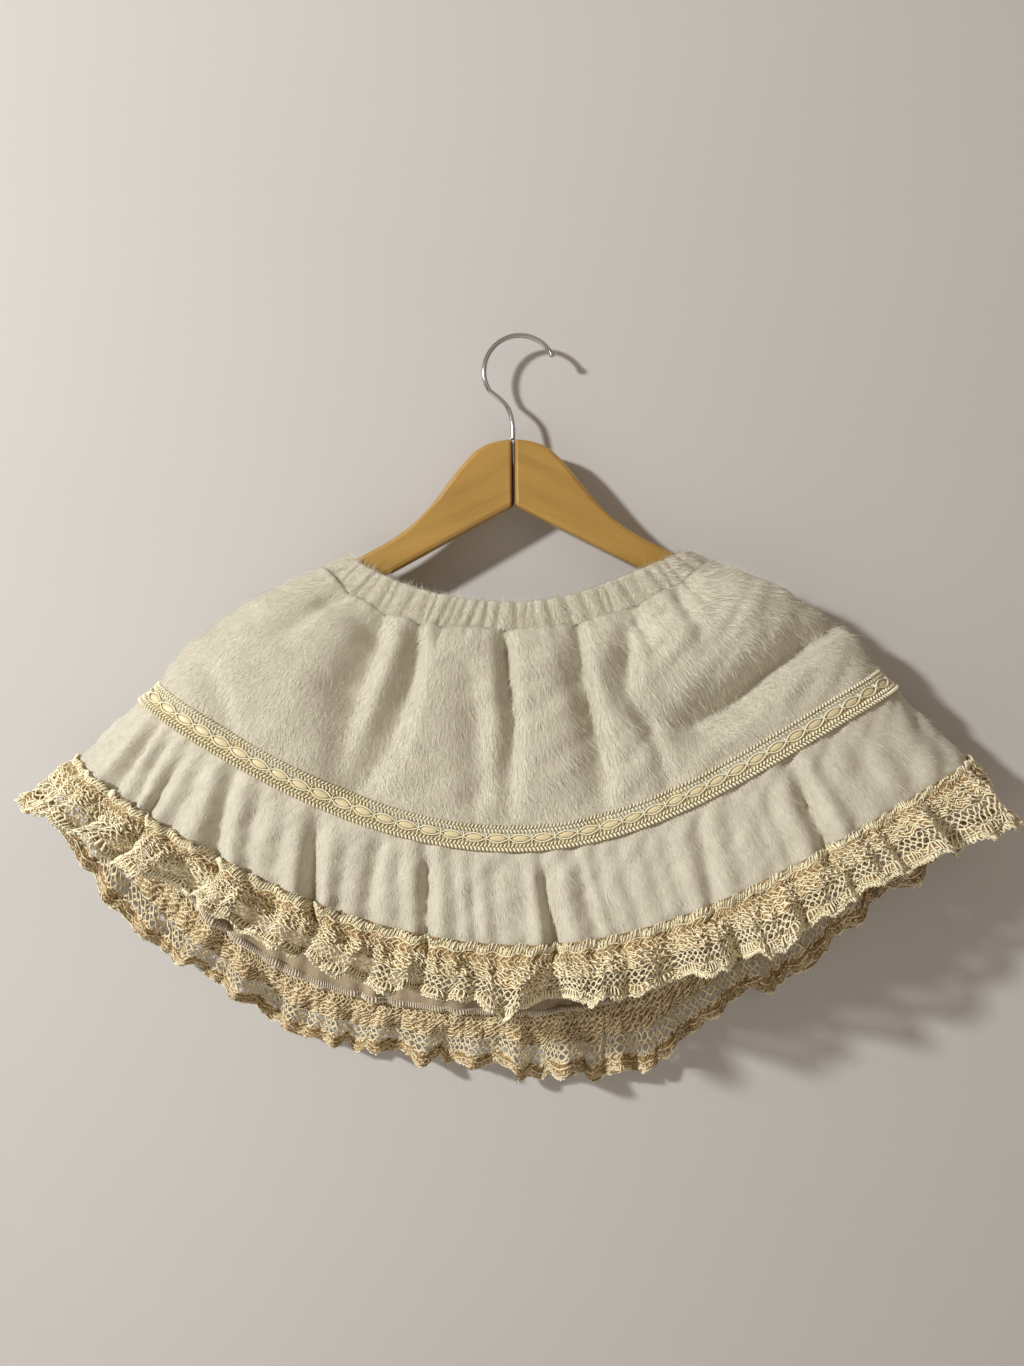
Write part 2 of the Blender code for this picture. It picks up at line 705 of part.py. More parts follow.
def trim_panel(side, group, material):
    """One half of the braid, moved out from the two tiers it lies on."""
    columns, moved = [], []
    levels = (TRIM_TOP, TRIM_BOTTOM)
    for level in levels:
        shares, _ = gather_stations(level, side)
        columns.append(shares)
        moved.append(np.full(len(shares), UPPER_THICKNESS / 2 + TRIM_LIFT))
    return panel("trim_" + side, side, levels, columns, np.array(moved),
                 TRIM_THICKNESS, group, material)


def ruffle_moved(level, shares, side):
    """The ruffle's own distance from its ring at any share."""
    stations, drawn = gather_stations(min(level, HEM), side)
    depths = [share for _, share in RUFFLE_ROWS]
    levels = [row for row, _ in RUFFLE_ROWS]
    return -np.interp(shares, stations, drawn) * np.interp(level, levels, depths)


def flute_shape(shares, side):
    """How far the lace's edge stands out and hangs down in its flutes, in metres."""
    table = np.array(FLUTES[side])
    share, curve, _ = ring_curve(LACE_EDGE, side)
    x = np.interp(shares, share, curve[:, 0])
    out, down = np.zeros(len(shares)), np.zeros(len(shares))
    for edge_x, half_width, flute_out, flute_down in table * MM:
        bump = np.exp(-(np.abs(x - edge_x) / half_width) ** FLUTE_POWER)
        out += flute_out * bump
        down += flute_down * bump
    return out, down


def lace_moved(level, shares, side, flute_share):
    """The lace's distance from its ring: over the ruffle, then out in flutes."""
    length = ring_curve(level, side)[2]
    reaches = np.linspace(-1, 1, 5) * LACE_BRIDGE / length
    over = np.max([ruffle_moved(level, shares + reach, side) for reach in reaches], axis=0)
    free = np.clip((level - HEM) / (LACE_EDGE - HEM), 0.0, 1.0)
    lift = (RUFFLE_THICKNESS + LACE_THICKNESS) / 2 + LACE_LIFT
    flute = flute_share * flute_shape(shares, side)[0]
    return (over * (1 - free) + flute) * side_fade(level, shares, side, LACE_FADE) + lift


def lace_panel(side, group, material):
    """One half of the gathered lace, cut through at its open diamonds."""
    level, share, _ = LACE_ROWS[HOLE_ROW]
    fine = np.linspace(0.0, 1.0, LACE_SAMPLES)
    line = ring_points(level, fine, side)
    line = line + ring_normals(level, fine, side) * lace_moved(level, fine, side, share)[:, None]
    run = np.concatenate(((0.0,), np.cumsum(np.linalg.norm(np.diff(line, axis=0), axis=1))))
    pitch = 1.0 / HOLES_PER_SIDE
    starts = np.arange(HOLES_PER_SIDE) * pitch
    edge = (1 - HOLE_SHARE) / 2 * pitch
    stations = np.sort(np.concatenate(((0.0,), starts + edge, starts + pitch - edge, (1.0,))))
    shares = np.interp(stations * run[-1], run, fine)
    down = flute_shape(shares, side)[1] * side_fade(LACE_EDGE, shares, side, LACE_FADE)
    point = np.arange(len(shares)) // 2 % 2 - 0.5
    levels, columns, moved, lowered = [], [], [], []
    for level, flute_share, picot in LACE_ROWS:
        levels.append(level)
        columns.append(shares)
        moved.append(lace_moved(level, shares, side, flute_share))
        lowered.append(down * flute_share + point * picot * MM)
    holes = {(HOLE_ROW, column) for column in range(1, len(shares) - 2, 2)}
    return panel("lace_" + side, side, levels, columns, np.array(moved),
                 LACE_THICKNESS, group, material, holes, np.array(lowered))


def hanger_arm(side, group, material):
    """One wooden half: a flat outline with rounded edges, seamed at the neck."""
    top = through(ARM_TOP_EDGE, 2)
    outline = [tuple(point) for point in top] + list(ARM_END) + list(ARM_UNDER_EDGE)
    flat = bpy.data.curves.new("arm_outline", "CURVE")
    flat.dimensions = "2D"
    flat.fill_mode = "BOTH"
    flat.extrude = ARM_THICKNESS / 2
    spline = flat.splines.new("POLY")
    spline.points.add(len(outline) - 1)
    for point, (out, height) in zip(spline.points, outline):
        point.co = (max(out * MM, SEAT_GAP / 2), height * MM - NECK_Z, 0.0, 1.0)
    spline.use_cyclic_u = True
    source = bpy.data.objects.new("arm_outline", flat)
    group.objects.link(source)
    depsgraph = bpy.context.evaluated_depsgraph_get()
    mesh = bpy.data.meshes.new_from_object(source.evaluated_get(depsgraph))
    bpy.data.objects.remove(source)
    shape = bmesh.new()
    shape.from_mesh(mesh)
    bmesh.ops.remove_doubles(shape, verts=shape.verts, dist=MERGE_DISTANCE)
    for corner in shape.verts:
        x, up, out = corner.co
        dx = side * x
        corner.co = (NECK_X + dx * math.cos(HANGER_TILT) - up * math.sin(HANGER_TILT), out,
                     NECK_Z + dx * math.sin(HANGER_TILT) + up * math.cos(HANGER_TILT))
    face_outward(shape)
    shape.to_mesh(mesh)
    shape.free()
    name = "hanger_arm_" + ("left" if side < 0 else "right")
    mesh.name = name
    arm = place(bpy.data.objects.new(name, mesh), group, material)
    rounding = arm.modifiers.new("rounded edges", "BEVEL")
    rounding.width = ARM_ROUNDING
    rounding.segments = 2
    rounding.limit_method = "ANGLE"
    rounding.angle_limit = SMOOTH_ANGLE
    mesh.shade_smooth()
    return arm


def hook(group, material):
    """The wire hook: ball end, crook and stem in one bent wire."""
    centre_z = WIRE_RADIUS - CROOK_RADIUS
    turns = np.linspace(CROOK_START, CROOK_END, CROOK_POINTS)
    crook = [(CROOK_X + CROOK_RADIUS * math.cos(turn), centre_z + CROOK_RADIUS * math.sin(turn))
             for turn in turns]
    bends = [(x * MM, z * MM) for x, z in STEM_ROUTE]
    foot = (NECK_X, NECK_Z + SEAT_GAP)
    stem = [tuple(point) for point in through([crook[-1], *bends, foot], 2)[1:]]
    start = np.array(crook[0])
    ahead = start - np.array(crook[1])
    ahead = ahead / np.linalg.norm(ahead)
    ball = [tuple(start + ahead * BALL_STEP * step) for step in range(len(BALL_PROFILE), 0, -1)]
    route = ball + crook + stem
    radii = list(BALL_PROFILE) + [1.0] * (len(route) - len(BALL_PROFILE))
    wire = bpy.data.curves.new("hook", "CURVE")
    wire.dimensions = "3D"
    wire.bevel_depth = WIRE_RADIUS
    wire.bevel_resolution = 2
    wire.use_fill_caps = True
    spline = wire.splines.new("POLY")
    spline.points.add(len(route) - 1)
    for point, (x, z), radius in zip(spline.points, route, radii):
        point.co = (x, 0.0, z, 1.0)
        point.radius = radius
    return place(bpy.data.objects.new("hook", wire), group, material)


def main():
    for obj in list(bpy.data.objects):
        bpy.data.objects.remove(obj)
    seat_rings_on_arms()
    skirt = collection("lace_mini_skirt")
    fleece = finish("white fleece", (0.80, 0.79, 0.74), 0.95)
    cotton = finish("cream cotton", (0.80, 0.70, 0.49), 0.9)
    wood = finish("oiled wood", (0.50, 0.29, 0.10), 0.45)
    chrome = finish("chrome wire", (0.75, 0.75, 0.76), 0.12, 1.0)
    waistband(skirt, fleece)
    for side in SIDES:
        upper_panel(side, skirt, fleece)
        ruffle_panel(side, skirt, fleece)
        trim_panel(side, skirt, cotton)
        lace_panel(side, skirt, cotton)
    for side in (-1, 1):
        hanger_arm(side, skirt, wood)
    hook(skirt, chrome)


main()
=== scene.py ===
"""The look of a tiered lace mini skirt of white fleece on its wooden hanger.

Metres, +Z up, +X to the viewer's right, the front faces -Y. The origin is the
inner top of the hook's crook. The rings and flutes are those of the solids. The
folds and gathers follow them too, deeper and set closer to the photo.
The cloth also gets its puckers, brushed hair, braid and lace threads here.
"""
import json
import math

import bpy
import numpy as np
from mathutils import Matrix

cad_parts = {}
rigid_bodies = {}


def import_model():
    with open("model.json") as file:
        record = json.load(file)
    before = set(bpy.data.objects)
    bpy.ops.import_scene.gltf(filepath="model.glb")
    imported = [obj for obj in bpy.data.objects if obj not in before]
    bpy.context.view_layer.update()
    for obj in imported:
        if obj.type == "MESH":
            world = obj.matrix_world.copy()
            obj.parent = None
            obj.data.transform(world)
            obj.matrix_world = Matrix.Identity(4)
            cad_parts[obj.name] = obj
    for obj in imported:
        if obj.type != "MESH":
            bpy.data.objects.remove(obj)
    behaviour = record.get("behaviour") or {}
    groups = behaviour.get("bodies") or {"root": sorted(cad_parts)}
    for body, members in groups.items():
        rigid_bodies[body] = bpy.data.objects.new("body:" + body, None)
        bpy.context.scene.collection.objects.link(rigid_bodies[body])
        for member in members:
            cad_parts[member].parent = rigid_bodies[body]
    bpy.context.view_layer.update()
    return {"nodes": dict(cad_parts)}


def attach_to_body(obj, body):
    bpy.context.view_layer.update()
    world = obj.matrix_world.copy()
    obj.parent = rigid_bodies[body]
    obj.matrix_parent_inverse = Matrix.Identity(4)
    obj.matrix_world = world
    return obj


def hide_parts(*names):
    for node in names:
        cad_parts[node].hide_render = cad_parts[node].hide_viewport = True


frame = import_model()

MM = 0.001
SIDES = ("front", "back")

# The hanger. Its upper edge is given as (out, height) in millimetres
NECK_X = -4.3 * MM
NECK_Z = -73.7 * MM
HANGER_TILT = math.radians(1.0)
ARM_TOP_EDGE = ((0, -73.7), (12.3, -75.2), (27, -81.5), (42.2, -98), (56.2, -116.1),
                (69.9, -130.9), (88, -143.9), (108, -154.7), (150, -173.7), (192, -193))
ARM_END_TOP = ((202, -199.5), (207, -206))
GRAIN_TURN = {"left": 0.42, "right": -0.42}

# The hook: round wire bent to a crook above a stem, which is given as (x, height)
WIRE_RADIUS = 1.75 * MM
CROOK_RADIUS = 26.0 * MM
CROOK_X = 0.8 * MM
CROOK_TURNS = np.radians(np.linspace(34.0, 212.0, 40))
STEM_ROUTE = ((-18, -40.6), (-12.2, -45.6), (-7.4, -51.6), (-5, -60), (-4.3, -67))
SEAT_GAP = 0.3 * MM
BALL_RADIUS = 2.5 * MM
BALL_AHEAD = 2.4 * MM
WIRE_SIDES = 16

# The solids' walls, and how thick the cloth itself is
BAND_THICKNESS = 4.0 * MM
UPPER_THICKNESS = 3.0 * MM
ARM_CLEARANCE = 1.35 * MM
FLEECE_THICKNESS = 1.4 * MM
RUFFLE_THICKNESS = 1.2 * MM
BRAID_THICKNESS = 0.8 * MM
LACE_THICKNESS = 0.5 * MM

# Rings from the waist down: the band's edges, two on the arms, hip, the braid's edges, middle
# of the ruffle, the lace's heading, the hem under it and the lace's edge
BAND_TOP, BAND_BOTTOM = 0, 1
RINGS_ON_ARMS = 4
TRIM_TOP, TRIM_BOTTOM = 5, 6
TRIM_MIDDLE = 0.5 * (TRIM_TOP + TRIM_BOTTOM)
LACE_TOP, HEM, LACE_EDGE = 8, 9, 10
RINGS = np.array((
    # left_x, left_z, right_x, right_z, front_z, back_z, front_y, back_y, pinches
    (-121.5, 0.0, 119.0, 0.0, -192.5, -256.0, -26.0, 16.0, -0.15, 0.45, 0.0, 0.0),
    (-139.0, 0.0, 137.0, 0.0, -212.5, -276.0, -28.0, 17.0, -0.70, -0.10, -0.2, -0.2),
    (-170.0, 0.0, 168.0, 0.0, -243.0, -309.0, -38.0, 19.0, -0.40, 0.00, -0.2, -0.1),
    (-200.0, 0.0, 197.0, 0.0, -277.0, -343.0, -42.0, 21.0, -0.10, 0.20, -0.1, 0.0),
    (-234.0, -222.5, 232.0, -213.0, -313.0, -378.0, -44.0, 22.0, 0.15, 0.35, -0.15, 0.1),
    (-254.5, -249.0, 253.5, -240.0, -345.0, -409.0, -45.5, 22.0, 0.27, 0.50, -0.25, 0.2),
    (-270.0, -262.5, 269.0, -254.0, -363.0, -427.0, -48.0, 22.0, 0.25, 0.50, -0.3, 0.25),
    (-291.0, -281.0, 292.0, -277.0, -392.3, -458.0, -54.0, 21.0, 0.22, 0.52, -0.45, 0.3),
    (-312.0, -300.5, 318.5, -301.5, -421.5, -489.0, -59.0, 19.0, 0.24, 0.53, -0.6, 0.33),
    (-321.5, -310.0, 325.5, -312.0, -435.5, -503.0, -61.5, 18.0, 0.29, 0.60, -0.65, 0.35),
    (-353.0, -339.5, 350.0, -352.5, -455.0, -537.5, -67.0, 16.0, 0.95, 0.98, -0.35, 0.35),
))
LEFT_X, LEFT_Z, RIGHT_X, RIGHT_Z = range(4)
# The columns of a side's lowest height, depth and two pinches
SIDE_COLUMNS = {"front": [4, 6, 8, 9], "back": [5, 7, 10, 11]}
ROUNDNESS = {"front": 0.40, "back": 0.22}
CURVE_SAMPLES = 721
NORMAL_SHARE = 0.004
NORMAL_LEVELS = 0.1

# Ribs of the gathered waistband
BAND_RIBS = {"front": 33, "back": 41}
BAND_COLUMNS = {"front": 300, "back": 340}
RIB_HEIGHT = 2.3 * MM
RIB_ROUNDNESS = 0.85
BAND_PROFILE = np.array((
    # level, out in halves of the thickness, share of the rib height, way from the row before
    (0.99, -0.60, 0.0, 0.0),
    (0.70, -0.85, 0.1, 4.0),
    (0.30, -0.85, 0.1, 8.0),
    (0.08, -0.75, 0.2, 5.0),
    (0.00, -0.30, 0.3, 2.0),
    (-0.02, 0.20, 0.45, 1.5),
    (0.03, 0.75, 0.6, 2.0),
    (0.14, 0.95, 0.8, 3.0),
    (0.34, 1.00, 1.0, 4.0),
    (0.58, 1.00, 1.0, 5.0),
    (0.82, 0.85, 0.85, 4.5),
    (0.95, 0.60, 0.7, 3.0),
    (1.01, 0.00, 0.4, 2.0),
))
# The rows of the profile that can be seen, where short hair grows
BAND_FACE = slice(4, 12)

# Slits between the puffed columns under the waistband, from -1 at the left side to 1
SLITS = {
    "front": (-0.857, -0.666, -0.495, -0.385, -0.07, 0.297, 0.598, 0.838),
    "back": (-0.86, -0.62, -0.40, -0.26, -0.12, 0.14, 0.38, 0.60, 0.84),
}
COLUMN_ROUNDNESS = 0.42

# Folds of the upper tier, each a line along its valley, in millimetres. The first width is
# that of the flank to the viewer's left on a line that runs down, or above one that runs left.
FOLDS = {
    # x, z, first width, second width, depth
    "front": (
        ((-116.8, -185, 5, 4, 4), (-136.7, -196, 7, 5, 4.5), (-161.1, -212.5, 8, 6, 2)),
        ((-90.1, -193.9, 9, 5, 4.5), (-96.7, -219.4, 18, 7, 10.5), (-110, -254.9, 22, 8, 11.5),
         (-119.8, -284.1, 16, 9, 6), (-127, -311.1, 12, 10, 1.5)),
        ((-67.3, -207.7, 6, 4, 5.5), (-70.6, -233.1, 11, 6, 9), (-77.9, -261.7, 15, 7, 9.5),
         (-87.8, -290.9, 20, 8, 10.5), (-106.6, -317.9, 20, 9, 7), (-121.3, -327.9, 14, 9, 2)),
        ((-30.9, -250, 11, 8.5, 2.5), (-27.7, -284, 13, 8.5, 4.5), (-28, -326, 12, 8.5, 3.5)),
        ((-9.8, -212.5, 5, 4, 6.5), (-7, -246.8, 7, 4, 8), (-3.6, -277.4, 8, 5, 7),
         (-5.7, -314.5, 10, 6, 4.5), (-7.7, -341.5, 8, 6, 1.5)),
        ((39.5, -209.1, 5, 4, 6), (44.2, -239.9, 7, 4, 8), (50.8, -274, 10, 5, 8.5),
         (57.4, -304.4, 16, 6, 7.5), (58.6, -331.3, 14, 6, 3)),
        ((32, -218, 7, 6, 2), (36.6, -246.8, 9, 6, 4), (39.9, -263.8, 8, 6, 1.5)),
        ((74.4, -211.1, 8, 4, 3), (75.7, -229.7, 12, 5, 9), (74.1, -252.2, 12, 6, 7),
         (82.1, -268.5, 8, 6, 3), (93.5, -290.9, 6, 5, 3.5), (102.6, -324.6, 7, 6, 1.5)),
        ((69.8, -189.1, 5, 4, 4.5), (80.6, -205.6, 5, 4, 4), (90.7, -227.6, 6, 5, 2)),
        ((221, -209.8, 9, 6, 5), (200.2, -222.1, 12, 7, 11), (175.2, -241.3, 14, 8, 14),
         (150.3, -261.7, 17, 9, 15), (122.9, -277.3, 18, 10, 13), (92.3, -275.3, 14, 9, 6)),
        ((198.1, -186.4, 14, 14, -2), (154.7, -200.1, 20, 20, -4.5),
         (116.9, -213.9, 18, 16, -3.5)),
        ((-213.3, -238.6, 8, 6, 1.5), (-202.5, -261.7, 10, 6, 2.5), (-194.5, -288.9, 9, 6, 1.5)),
        ((107.5, -185, 4, 4, 4), (117, -204.3, 6, 5, 2.5), (123.6, -219.4, 7, 6, 1)),
    ),
    "back": (
        ((-117.6, -197.7, 5.2, 3.4, 2.8), (-125.5, -224.7, 9.2, 6, 4),
         (-133, -256.6, 12.6, 8.2, 3.8), (-137, -289.7, 11.5, 7.5, 1)),
        ((-85.1, -237.1, 7.2, 4.7, 5.2), (-100.4, -279.1, 12.9, 8.4, 7.5),
         (-115, -331.8, 17.7, 11.6, 7.1), (-116.3, -384.4, 16.1, 10.5, 1.9)),
        ((-55.3, -259.3, 5.7, 3.7, 4.2), (-61.2, -292.2, 10.1, 6.6, 6),
         (-65.9, -331.4, 13.9, 9.1, 5.7), (-67.6, -374.5, 12.6, 8.2, 1.5)),
        ((-17.3, -272.3, 6.2, 4.1, 5.2), (-19.7, -312.4, 11, 7.2, 7.5),
         (-21.8, -362.1, 15.2, 9.9, 7.1), (-20.8, -408.4, 13.8, 9, 1.9)),
        ((18, -271.4, 5.7, 3.7, 4.2), (21.6, -305.9, 10.1, 6.6, 6),
         (24.8, -348.5, 13.9, 9.1, 5.7), (28.6, -391.3, 12.6, 8.2, 1.5)),
        ((50.5, -259.5, 7.8, 5.1, 5.2), (61.4, -299.7, 13.8, 9, 7.5),
         (72.8, -350.2, 19, 12.4, 7.1), (77.2, -395.7, 17.2, 11.2, 1.9)),
        ((80.3, -237.8, 5.2, 3.4, 4.2), (89.1, -262.1, 9.2, 6, 6), (96.8, -291.9, 12.6, 8.2, 5.7),
         (104.3, -324.5, 11.5, 7.5, 1.5)),
        ((112.9, -199.1, 5.7, 3.7, 2.8), (124, -222.5, 10.1, 6.6, 4),
         (134.3, -250.6, 13.9, 9.1, 3.8), (143.2, -281.7, 12.6, 8.2, 1)),
        ((129.5, -276.2, 10.3, 6.8, 3.8), (141.4, -296.3, 18.4, 12, 5.5),
         (150.3, -321, 25.3, 16.5, 5.2), (153.9, -342.9, 23, 15, 1.4)),
    ),
}
FOLD_GAIN = 1.6
# The seam under the band holds the folds nearly flat: level, share of the depth
FOLD_RISE = ((1.0, 0.2), (1.45, 1.0))
# Rises of the upper tier: height, level of the middle, spread in levels
PUFF = (2.2 * MM, 1.7, 0.7)
PUCKERS = (1.1 * MM, 1.0, 0.3)
COLUMNS = (3.2 * MM, 1.2, 0.65)
# The upper tier's top is tucked under the band: level, out and up in millimetres
TUCK = ((0.95, -2.6), (1.0, -1.4), (1.06, 1.4), (1.2, 1.8))
COLUMN_TOPS = ((0.95, 0.0), (1.0, 1.2), (1.06, 3.4), (1.2, 0.8))
UPPER_END = 5.5
SIDE_FADE = 14.0 * MM
UNEVENNESS = 0.9 * MM

# Gathers of the ruffle: where each valley starts under the trim and where it reaches the hem
GATHERS = (
    # trim_x, hem_x, depth_mm
    (-253.5, -308, 4.5), (-242, -286, 9), (-231, -265, 4), (-220, -250.5, 6.5), (-209, -237, 2.5),
    (-189, -202, 12.5), (-171, -176, 4.5), (-152, -157, 2.5), (-133, -137, 10.5), (-114, -118, 2),
    (-92, -100, 6), (-78, -80, 2), (-64, -60, 12), (-46, -42, 2), (-33, -33, 4), (-17, -12, 3),
    (0, 3, 2), (14.7, 19, 9), (34, 52, 6), (49, 68, 2), (61, 80, 3.5), (81, 94, 2), (94, 108, 3),
    (117, 124, 6.5), (136, 150, 3), (149, 166, 2), (161, 182, 3), (178, 206, 11), (196, 231, 2.2),
    (213, 254, 3.5), (233, 276, 2.5), (258, 303, 4),
)
BACK_GATHER_SHIFT = 5
# Depth in mm, gain: the slight gathers stay soft under the nap
GATHER_GAINS = ((2.5, 0.75), (8.0, 1.5))
GATHER_SWAY = 1.6 * MM
RIDGE_SHARE = 0.45
# Level, share of the gather depth
RUFFLE_ROWS = ((5.51, 0.0), (6.0, 0.16), (6.9, 0.75), (9.0, 1.0))
TRIM_PUCKERS = (0.9 * MM, 6.2, 0.5)
RUFFLE_FADE = 6.0 * MM
RUFFLE_END = 8.32
TRIM_LIFT = 0.5 * MM
TRIM_BRIDGE = 4.0 * MM

# The lace's flutes, which widen to its edge
FLUTES = {
    # edge_x, half_width_mm, out_mm, down_mm
    "front": (
        (-318, 19, 8, 1.5), (-287, 17, 11, 6), (-258, 17, 9, 11), (-201, 19, 15, 11.5),
        (-167, 18, 11, 13.5), (-125, 21, 14, 12), (-87, 18, 10, 11.5), (-52, 18, 8, 6.5),
        (-11, 22, 14, 13.5), (51, 23, 14, 7), (84, 15, 8, 10.5), (124, 20, 12, 10),
        (168, 21, 13, 14), (208, 18, 9, 5.5), (243, 17, 8, 1), (278, 18, 12, 0.5),
        (322, 19, 9, 0),
    ),
    "back": (
        (-322, 16, 8, 11.5), (-296, 17, 10, 14), (-266, 17, 12, 11.5), (-230, 17, 8, 0),
        (-188, 20, 14, 6.5), (-156, 17, 9, 9.5), (-124, 18, 12, 2.5), (-90, 17, 9, 0),
        (-54, 19, 13, 0.5), (-16, 16, 8, 0), (12, 16, 12, 11.5), (57, 18, 14, 19),
        (96, 18, 11, 22), (131, 16, 8, 6.5), (163, 16, 10, 0.5), (200, 19, 14, 13.5),
        (236, 17, 9, 5.5), (272, 18, 11, 0), (315, 19, 9, 4),
    ),
}
FLUTE_POWER = 3
FLUTE_GAIN = 1.35
CREVICE_DEPTH = 8.5 * MM
CREVICE_WIDTH = 5.0 * MM
# Level, share of the flutes' shape
LACE_FREEDOM = ((8.0, 0.0), (9.0, 0.15), (9.38, 0.6), (9.6, 0.8), (10.0, 1.0))
# Share of the lace's depth, level
LACE_LEVELS = ((0.0, LACE_TOP), (0.30, HEM), (1.0, LACE_EDGE))
# Share of the lace's depth, height in millimetres of its lumps and of its dents
LUMPS = ((0.0, 0.5), (0.3, 2.4), (1.0, 4.2))
DENTS = ((0.0, 0.4), (0.3, 0.9), (1.0, 1.2))
LACE_LIFT = 1.9 * MM
LACE_BRIDGE = 6.0 * MM
LACE_FADE = 20.0 * MM
LACE_SAMPLES = 2001
LACE_MIDDLE = 0.62
LACE_WIDTH = 0.85

# The lace's pattern: two repeats in each tile, read down from the heading in millimetres
LACE_TILES = 52
LACE_REPEAT = 8.7
LACE_TILE = 2 * LACE_REPEAT
LACE_DEPTH = 50.0
# Bands of the lace worked close enough to hide what lies behind, as a dark sheet of painted shade under
# the threads: from, to, rows
LACE_CLOSE_BANDS = ((0.6, 26.2, 12), (36.4, 46.5, 6))

# The braid's pattern: one oval in each tile
BRAID_OVALS = {"front": 39, "back": 43}
BRAID_PITCH = 15.2
BRAID_DEPTH = 18.3
BRAID_MIDDLE = 9.1
BRAID_STITCHES = 6

# The overlocked edge: ten wraps in each tile
WRAPS = 10
WRAP_PITCH = 1.7

# Brushed hair, in blades a square metre in front and behind, and in millimetres
HAIR = {
    # densities, shortest, longest, width, lift, stray, seeds
    "waistband_hair": ((1500000.0, 300000.0), 2.0, 5.0, 0.22, 0.55, 1.0, (7, 8)),
    "upper_hair": ((800000.0, 300000.0), 3.0, 6.5, 0.21, 0.1, 0.75, (3, 4)),
    "ruffle_hair": ((170000.0, 110000.0), 2.0, 5.0, 0.24, 0.1, 0.5, (5, 6)),
}
HAIR_TURN = 0.22

SEED = 7


def catmull_rom(a, b, c, d, t):
    """The point at t between b and c on the smooth curve through all four."""
    bend = (2 * a - 5 * b + 4 * c - d) * t + (3 * (b - c) + d - a) * t * t
    return b + 0.5 * t * ((c - a) + bend)


def through(points, steps):
    """A smooth line through the points, with the given steps between each two."""
    points = np.array(points, dtype=float)
    padded = np.vstack((2 * points[0] - points[1], points, 2 * points[-1] - points[-2]))
    line = [catmull_rom(*four, t) for four in zip(padded, padded[1:], padded[2:], padded[3:])
            for t in np.arange(steps) / steps]
    return np.array([*line, points[-1]])


def read(table, place):
    """What a table of (place, value) rows gives at a place."""
    return np.interp(place, *zip(*table))


def summed(steps):
    """Running sums that start from 0."""
    return np.concatenate(((0.0,), np.cumsum(steps)))


def unit(vectors):
    """The vectors at length 1."""
    return vectors / np.maximum(np.linalg.norm(vectors, axis=-1), 1e-12)[..., None]


def smooth_step(low, high, value):
    """From 0 at low to 1 at high, with soft ends."""
    share = np.clip((value - low) / (high - low), 0.0, 1.0)
    return share * share * (3 - 2 * share)


def swell(level, height, middle, spread):
    """A rounded rise of this height about a level."""
    return height * math.exp(-((level - middle) / spread) ** 2)


def unevenness(across, down, seed, longest, shortest, count=14):
    """A gentle irregular relief of about -1 to 1 over places given in metres."""
    dice = np.random.default_rng(seed)
    relief = np.zeros(np.broadcast(across, down).shape)
    for wave in range(count):
        length = longest * (shortest / longest) ** (wave / (count - 1))
        turn = dice.uniform(0, 2 * math.pi)
        start = dice.uniform(0, 2 * math.pi)
        run = across * math.cos(turn) + down * math.sin(turn)
        relief = relief + np.sin(2 * math.pi * run / length + start)
    return relief / math.sqrt(count)


def arm_top_z(x):
    """The height at x of the hanger's upper edge, turned about the neck as it hangs."""
    side = 1 if x > NECK_X else -1
    out, height = np.vstack((through(ARM_TOP_EDGE, 2), ARM_END_TOP)).T * MM
    dx, dz = side * out, height - NECK_Z
    edge_x = NECK_X + dx * math.cos(HANGER_TILT) - dz * math.sin(HANGER_TILT)
    edge_z = NECK_Z + dx * math.sin(HANGER_TILT) + dz * math.cos(HANGER_TILT)
    order = np.argsort(edge_x)
    return float(np.interp(x, edge_x[order], edge_z[order]))


def seat_rings_on_arms():
    """Give the upper rings the side heights at which the cloth lies on the arms."""
    for level in range(RINGS_ON_ARMS):
        wall = BAND_THICKNESS if level <= BAND_BOTTOM else UPPER_THICKNESS
        for x_column, z_column in ((LEFT_X, LEFT_Z), (RIGHT_X, RIGHT_Z)):
            seat = arm_top_z(RINGS[level, x_column] * MM) + ARM_CLEARANCE + wall / 2
            RINGS[level, z_column] = seat / MM


def ring_at(level):
    """The ring table's values at any level, smooth between its rows."""
    row = min(int(level), len(RINGS) - 2)
    near = np.clip(np.arange(row - 1, row + 3), 0, len(RINGS) - 1)
    return catmull_rom(*RINGS[near], level - row)


def ring_curve(level, side):
    """The ring's line across one side: share of its length, its points and its length."""
    ring = ring_at(level)
    low_z, out_y, pinch_left, pinch_right = ring[SIDE_COLUMNS[side]] * (MM, MM, 1.0, 1.0)
    left_x, left_z, right_x, right_z = ring[:4] * MM
    across = -np.cos(np.linspace(0.0, math.pi, CURVE_SAMPLES))
    drop = (left_z + right_z) / 2 - low_z
    pinch = np.where(across < 0, pinch_left, pinch_right)
    points = np.stack((
        left_x + (right_x - left_x) * (across + 1) / 2,
        out_y * np.maximum(1 - across ** 4, 0.0) ** ROUNDNESS[side],
        left_z + (right_z - left_z) * (across + 1) / 2
        - drop * (1 - across ** 2) * (1 - pinch * across ** 2)), axis=1)
    share = summed(np.linalg.norm(np.diff(points, axis=0), axis=1))
    return share / share[-1], points, share[-1]


def length_of(level, side):
    """The length of one side of a ring."""
    return ring_curve(level, side)[2]


def ring_points(level, shares, side):
    """Points of one ring at shares of its length, from the left side to the right."""
    share, points, _ = ring_curve(level, side)
    return np.stack([np.interp(shares, share, column) for column in points.T], axis=1)


